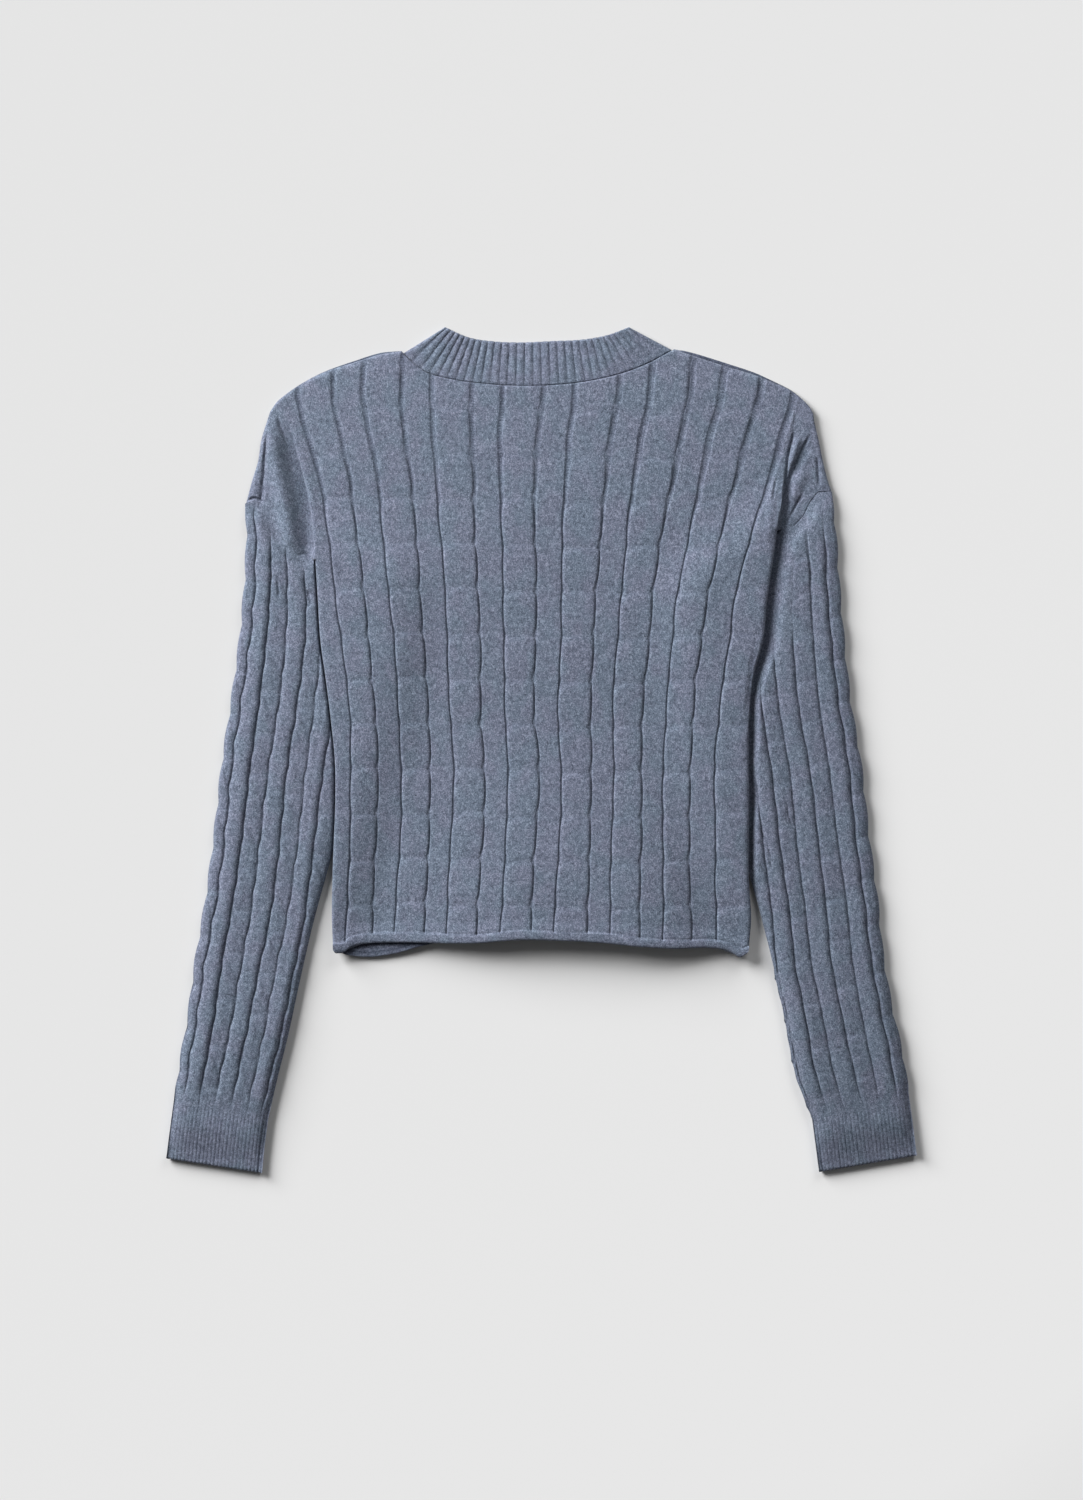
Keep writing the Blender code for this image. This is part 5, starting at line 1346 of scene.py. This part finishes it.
def sleeve_knit(side, along, repeats, across, width, flats):
    """The relief of a sleeve's cables and ribs, and the shade painted at each corner."""
    columns = SLEEVE_COLUMNS
    relief, lines = knit_relief(
        columns, across, width, *flats, -side.sign * repeats, side.knit, -side.sign)
    nearest = np.clip(columns.band - (across < 0.5), 0, len(side.grooves) - 1)
    start = np.array([groove.start for groove in side.grooves])[nearest]
    strength = np.array([groove.strength for groove in side.grooves])[nearest]
    strength = strength * smooth((along - start) / STRENGTH_RUN)
    relief = between(side.knit.cable, relief, strength) + oval_rise(columns, repeats, across)
    swelling = np.where(columns.band == 0, between(OUTER_SWELL, 1.0, across), across)
    swell = SLEEVE_SWELL * np.sin(math.pi * np.clip(swelling, 0, 1)) ** SWELL_POWER
    painted_shade, _ = knit_shade(columns, repeats, 0.0)
    painted_shade = np.maximum(painted_shade * strength, LINE_SHADE * lines)
    return relief + swell, np.maximum(painted_shade, LOW_BAND_SHADE * columns.is_cable * strength)


def beside_cuff(x, y, part):
    """The height and the painted shade of the cuff where the sleeve meets it."""
    rib, strength = cuff_ribs(part, 0.0)
    top = PLAIN_WALL + TUBE_SLIT + CUFF_CROWN * arch(part) + cuff_wall(x, y, rib, strength)
    return top, CUFF_SHADE * (1 - rib) * strength


def sleeve_under(plan, edges, fold_height):
    """The sleeve's ribbed lower side: the parts of its width, its corners and its cloth."""
    part = np.linspace(0, 1, SLEEVE_UNDER_COLUMNS + 1)[None, :] * np.ones_like(edges.along)
    fold = np.minimum(part, 1 - part) * edges.width
    rib = ribs(edges.width * part / UNDER_RIB, UNDER_FULLNESS)
    low = underside(UNDER_GROOVE, rib, fold, fold_height, UNDER_ROUND, FAR)
    cloth = stack(part * edges.width, -edges.along, UNDER_SHADE * (1 - rib), 0.0)
    return part, stack(*plan(part), low), cloth


def make_sleeve(name, node, side):
    """A sleeve, as a flat tube with cables and ribs along it."""
    edges = tube_edges(side.stations, SLEEVE_ROWS)
    along, width, columns = edges.along, edges.width, SLEEVE_COLUMNS
    repeats = along / CABLE_REPEAT + FIRST_REPEAT
    plan = sleeve_plan(side, edges, repeats)
    starts, stops = sleeve_bands(side, edges, repeats)
    crossing = wave(SLEEVE_CROSSING_WAVE, along, columns.band)
    row_repeats = repeats + BAND_LAG * columns.band + crossing
    flats = groove_flats(columns, row_repeats, NARROW_CHANNEL, side.knit)
    across = knit_across(columns, stops - starts, *flats)
    reach = between(starts, stops, across)
    part = reach / width
    x, y = plan(part)
    relief, painted_shade = sleeve_knit(side, along, row_repeats, across, stops - starts, flats)

    press = body_press(x, y, side)
    creased = crease_relief(SLEEVE_CREASES, x, y)
    # Painted shadow of the body's edge on the sleeve beside it, and painted shade in the creases.
    painted_body_shadow = side.press.shade * (1 - press) ** 2
    painted_shade = np.maximum(painted_shade, np.maximum(painted_body_shadow, crease_shade(creased, 0.0)))
    free = smooth((along - FREE_START) / FREE_LENGTH)
    fold_height = FOLD_HEIGHT + FREE_FOLD * free
    crown = (SLEEVE_CROWN + FREE_CROWN * free) * arch(part)
    crown = crown * between(CROWN_AT_SEAM, 1.0, smooth(along / CROWN_LENGTH)) * press
    wall = CLOTH + relief + creased + SLEEVE_RIPPLE * ripples(x, y)
    top = PLAIN_WALL + TUBE_SLIT + crown + between(PRESSED_WALL, wall, press)
    level = back_inside(x, y) + back_cloth(x, y, BODY_KNIT.rib)[0]
    top = between(top, level, press * (1 - smooth(along / SEAM_LEVEL)))
    fold = np.minimum(reach, width - reach)
    top = round_fold(top, fold, fold_height)
    top = top - side.press.seam * (1 - round_over(along, SEAM_DIP))

    cuff_top, cuff_painted_shade = beside_cuff(x, y, part)
    ending = smooth(edges.ahead / CUFF_EASE)
    top = between(round_fold(cuff_top, fold, fold_height), top, ending)
    painted_shade = painted_shade * ending + cuff_painted_shade * (1 - ending) ** 2
    under_part, under, under_cloth = sleeve_under(plan, edges, fold_height)
    outer = wrap(stack(x, y, top), under)
    cloth = wrap(stack(reach, -along, painted_shade, 0.0), under_cloth)
    air = (TUBE_SLIT + crown) * round_over(fold, FOLD_ROUND)
    inner = wrap(slit(plan, part, width, PLAIN_WALL + air),
                 slit(plan, under_part, width, PLAIN_WALL))
    return make_tube(name, node, *as_laid(side.sign, outer, inner, cloth))


# ------------------------------------------------------------------ neck band
BAND_ROWS, BAND_COLUMNS = 44, 320
BAND_RIBS = 31
BAND_CUT_RIBS, CUT_POWER = 0.6, 1.2     # how many ribs run out over each folded end
BAND_GATHER = 0.30          # how much closer the ribs lie at the ends of the top edge
BAND_END_GAP = 0.6          # between its folded ends and the shoulders
BAND_WALL, BAND_RISE = 1.1, 1.25        # its cloth, and how high its ribs stand on it
BAND_GROOVE, BAND_FULLNESS = 0.5, 0.5   # how deep they are below, and how full
SEAM_STRENGTH, STRENGTH_PART = 0.62, 0.5    # how much of that there is at the seam, and up to where
BAND_FOLD_HEIGHT, BAND_FOLD_ROUND = 3.4, 3.0
BAND_WIDTHS = (216.0, 147.0)        # at the seam and at the top
BAND_HEIGHT, BAND_CLOTH_HEIGHT = 40, 35     # roughly, along its folded ends and in its middle
BAND_DROOP, DROOP_FALL, DROOP_MARGIN = 1.4, 5, 0.35     # how far its middle sinks, between its ends
BAND_RIPPLE = 0.5
BAND_EDGE, BAND_EDGE_ROUND = 0.55, 2.4      # how much of its cloth is left at its edge
PIT_DEPTHS, PIT_SHIFT, PIT_ROUND = (0.25, 0.35), 0.2, 1.6   # the stitches along the seam
BAND_FLARE, FLARE_START = 0.35, (0.85, 0.15)    # how far the ribs' ends wave, and from where
JOINED_ENDS = 6.0           # how far from its ends its front leaves its back
BAND_SHADE, PIT_PART = 0.72, 0.07       # the shade painted into its grooves, and how far up the pits reach
BAND_RIB_WIDTH = 6.6        # on the unstretched cloth
BAND_SLIT = (0.02, 0.98)    # the slit inside it, from one folded end to the other


def band_plan(part, up, seam, edge):
    """The places between a seam and a free edge, which is gathered."""
    seam_x = between(NECK_SEAM[0].x + BAND_END_GAP, NECK_SEAM[-1].x - BAND_END_GAP, part)
    gathered = part - BAND_GATHER * np.sin(2 * math.pi * part) / (2 * math.pi)
    edge_x = between(BACK_NECK_EDGE[0].x, BACK_NECK_EDGE[-1].x, gathered)
    return between(seam_x, edge_x, up), between(seam(seam_x) + SEAM_GAP, edge(edge_x), up)


def make_neck_band():
    """The ribbed neck band: its back is upwards, and its front lies deeper, under the back."""
    back_lines = (neck_seam, line(BACK_NECK_EDGE))
    front_lines = (front_neck_seam, line(FRONT_NECK_EDGE))
    up = np.linspace(0, 1, BAND_ROWS + 1)[:, None]
    part = np.linspace(0, 1, BAND_COLUMNS + 1)[None, :] * np.ones_like(up)
    cut = BAND_CUT_RIBS * up ** CUT_POWER
    rib_place = between(cut, BAND_RIBS - cut, part)
    rib = ribs(rib_place, BAND_FULLNESS)
    strength = between(SEAM_STRENGTH, 1.0, smooth(up / STRENGTH_PART))
    x, y = band_plan(part, up, *back_lines)
    height = y[-1:] - y[:1]
    fold = np.minimum(part, 1 - part) * between(*BAND_WIDTHS, up)
    droop = BAND_DROOP * smooth(up) * smooth(DROOP_FALL * part * (1 - part) - DROOP_MARGIN)
    wall = BAND_WALL + BAND_RISE * rib * strength + BAND_RIPPLE * ripples(x, y)
    wall = wall * between(BAND_EDGE, 1.0, round_over((1 - up) * height, BAND_EDGE_ROUND))
    pitted = PIT_DEPTHS[0] + PIT_DEPTHS[1] * ribs(rib_place + PIT_SHIFT, 1)
    wall = wall - pitted * (1 - round_over(up * height, PIT_ROUND))
    top = PLAIN_WALL + LAYER_GAP - droop + wall
    top = between(BAND_FOLD_HEIGHT, top, round_over(fold, BAND_FOLD_ROUND))

    at_end = 1 - smooth(fold / JOINED_ENDS)
    under = [between(front, back, at_end)
             for front, back in zip(band_plan(part, up, *front_lines), (x, y))]
    low = underside(BAND_GROOVE, rib, fold, BAND_FOLD_HEIGHT, RIB_FOLD_ROUND,
                    (1 - up) * BAND_HEIGHT)
    y = y + BAND_FLARE * (rib - 0.5) * rising(up, *FLARE_START)
    outer = wrap(stack(x, y, top), stack(*under, low))
    # Painted shade in the pits along the seam.
    pits = SEAM_SHADE * (0.5 + 0.5 * np.sin(2 * math.pi * rib_place))
    pits = pits * (1 - smooth(up / PIT_PART))
    painted_shade = np.maximum(BAND_SHADE * (1 - rib) * strength, pits)
    weave = stack(rib_place * BAND_RIB_WIDTH, up * BAND_CLOTH_HEIGHT, painted_shade, 0.0)

    inset = between(*BAND_SLIT, part)
    air = LAYER_GAP * round_over(fold, BAND_FOLD_ROUND)
    inner_up = stack(*band_plan(inset, up, *back_lines), PLAIN_WALL + air - droop)
    inner_low = stack(*band_plan(inset, up, *front_lines), PLAIN_WALL)
    inner_low = between(inner_low, inner_up, at_end[..., None])
    inner = wrap(inner_up, inner_low)
    return make_tube("neck_rib", "neck_band", outer, inner, wrap(weave, weave), 4)


# ------------------------------------------------------------------ setting
FLOOR_TONE = 0.81           # how pale the floor looks where nothing shades it
PALEST = 0.95               # no part of the paper is paler than this
FILL = 0.09                 # the even light from all round
Lamp = namedtuple("Lamp", "name place aim size power")
LAMPS = (
    Lamp("side_box", (-2.30, 1.80, 1.42), (0.0, 0.0, 0.0), 1.9, 262.0),
    Lamp("top_box", (0.9, 2.2, 1.3), (0.0, -0.1, 0.0), 1.3, 30.0),
)
# Where the four small lamps hang that stand for a large one, as parts of its size.
LAMP_PARTS = ((-0.25, -0.25), (-0.25, 0.25), (0.25, -0.25), (0.25, 0.25))
FLOOR_SIZE = 9.0
EYE_HEIGHT = 3.005
FILM_HEIGHT, LENS, FARTHEST = 24.0, 60.0, 20.0      # in millimetres, and the last in metres


def lamp_turn(lamp):
    return (Vector(lamp.aim) - Vector(lamp.place)).to_track_quat("-Z", "Y")


def lamp_light_group():
    """The light that a small lamp sends to a level floor: Place is where it hangs, Facing is the
    way it looks, and Power is its power over the square of pi, times its height."""
    inputs = {"Point": "Vector", "Place": "Vector", "Facing": "Vector", "Power": "Float"}
    group, given, result = new_group("lamp_light", inputs, {"Light": "Float"})

    def vector_node(operation, first, second, output):
        node = group.nodes.new("ShaderNodeVectorMath")
        node.operation = operation
        return fill(group, node, {0: first, 1: second}).outputs[output]

    away = vector_node("SUBTRACT", given["Point"], given["Place"], "Vector")
    square = vector_node("DOT_PRODUCT", away, away, "Value")
    ahead = vector_node("DOT_PRODUCT", away, given["Facing"], "Value")
    light = math_node(group, "DIVIDE", ahead, math_node(group, "MULTIPLY", square, square))
    link(group, math_node(group, "MULTIPLY", light, given["Power"]), result["Light"])
    return group


def paper_material():
    """Pale paper whose shade makes up for the lamps' fall-off, so that it looks even."""
    paper = bpy.data.materials.new("pale_paper")
    paper.use_nodes = True
    tree = paper.node_tree
    point = tree.nodes.new("ShaderNodeTexCoord").outputs["Object"]
    lamp_light = lamp_light_group()
    light = FILL
    for lamp in LAMPS:
        turn = lamp_turn(lamp)
        facing = turn @ Vector((0.0, 0.0, -1.0))
        for right, up in LAMP_PARTS:
            place = Vector(lamp.place) + turn @ Vector((right, up, 0.0)) * lamp.size
            power = lamp.power * place.z / math.pi ** 2 / len(LAMP_PARTS)
            part = group_node(tree, lamp_light, {
                "Point": point, "Place": place, "Facing": facing, "Power": power})
            light = math_node(tree, "ADD", light, part["Light"])
    shade = math_node(tree, "DIVIDE", FLOOR_TONE, light)
    shade = math_node(tree, "MINIMUM", shade, PALEST)
    tone = tree.nodes.new("ShaderNodeCombineColor")
    fill(tree, tone, {0: shade, 1: shade, 2: shade})
    fill(tree, tree.nodes["Principled BSDF"], {
        "Base Color": tone.outputs["Color"], "Roughness": 1.0, "Specular IOR Level": 0.0})
    return paper


def make_setting():
    bpy.ops.mesh.primitive_plane_add(size=FLOOR_SIZE, location=(0, 0, 0))
    floor = bpy.context.object
    floor.name = "floor"
    floor.data.materials.append(paper_material())

    world = bpy.data.worlds.new("studio")
    world.use_nodes = True
    fill(world.node_tree, world.node_tree.nodes["Background"], {
        "Color": (1, 1, 1, 1), "Strength": FILL})
    bpy.context.scene.world = world

    for lamp in LAMPS:
        panel = bpy.data.lights.new(lamp.name, "AREA")
        panel.size = lamp.size
        panel.energy = lamp.power
        hung = bpy.data.objects.new(lamp.name, panel)
        hung.location = lamp.place
        hung.rotation_euler = lamp_turn(lamp).to_euler()
        bpy.context.scene.collection.objects.link(hung)

    camera = bpy.data.cameras.new("camera")
    camera.sensor_fit = "VERTICAL"
    camera.sensor_height = FILM_HEIGHT
    camera.lens = LENS
    camera.clip_end = FARTHEST
    eye = bpy.data.objects.new("camera", camera)
    eye.location = (0.0, 0.0, EYE_HEIGHT)
    bpy.context.scene.collection.objects.link(eye)
    bpy.context.scene.camera = eye
    bpy.context.scene.view_settings.view_transform = "Standard"


make_setting()
back = make_back()
front = make_front()
sleeve_left = make_sleeve("left_sleeve_knit", "sleeve_left", LEFT_SIDE)
sleeve_right = make_sleeve("right_sleeve_knit", "sleeve_right", RIGHT_SIDE)
cuff_left = make_cuff("left_cuff_rib", "cuff_left", LEFT_CUFF, LEFT_SIDE.sign)
cuff_right = make_cuff("right_cuff_rib", "cuff_right", RIGHT_CUFF, RIGHT_SIDE.sign)
neck = make_neck_band()
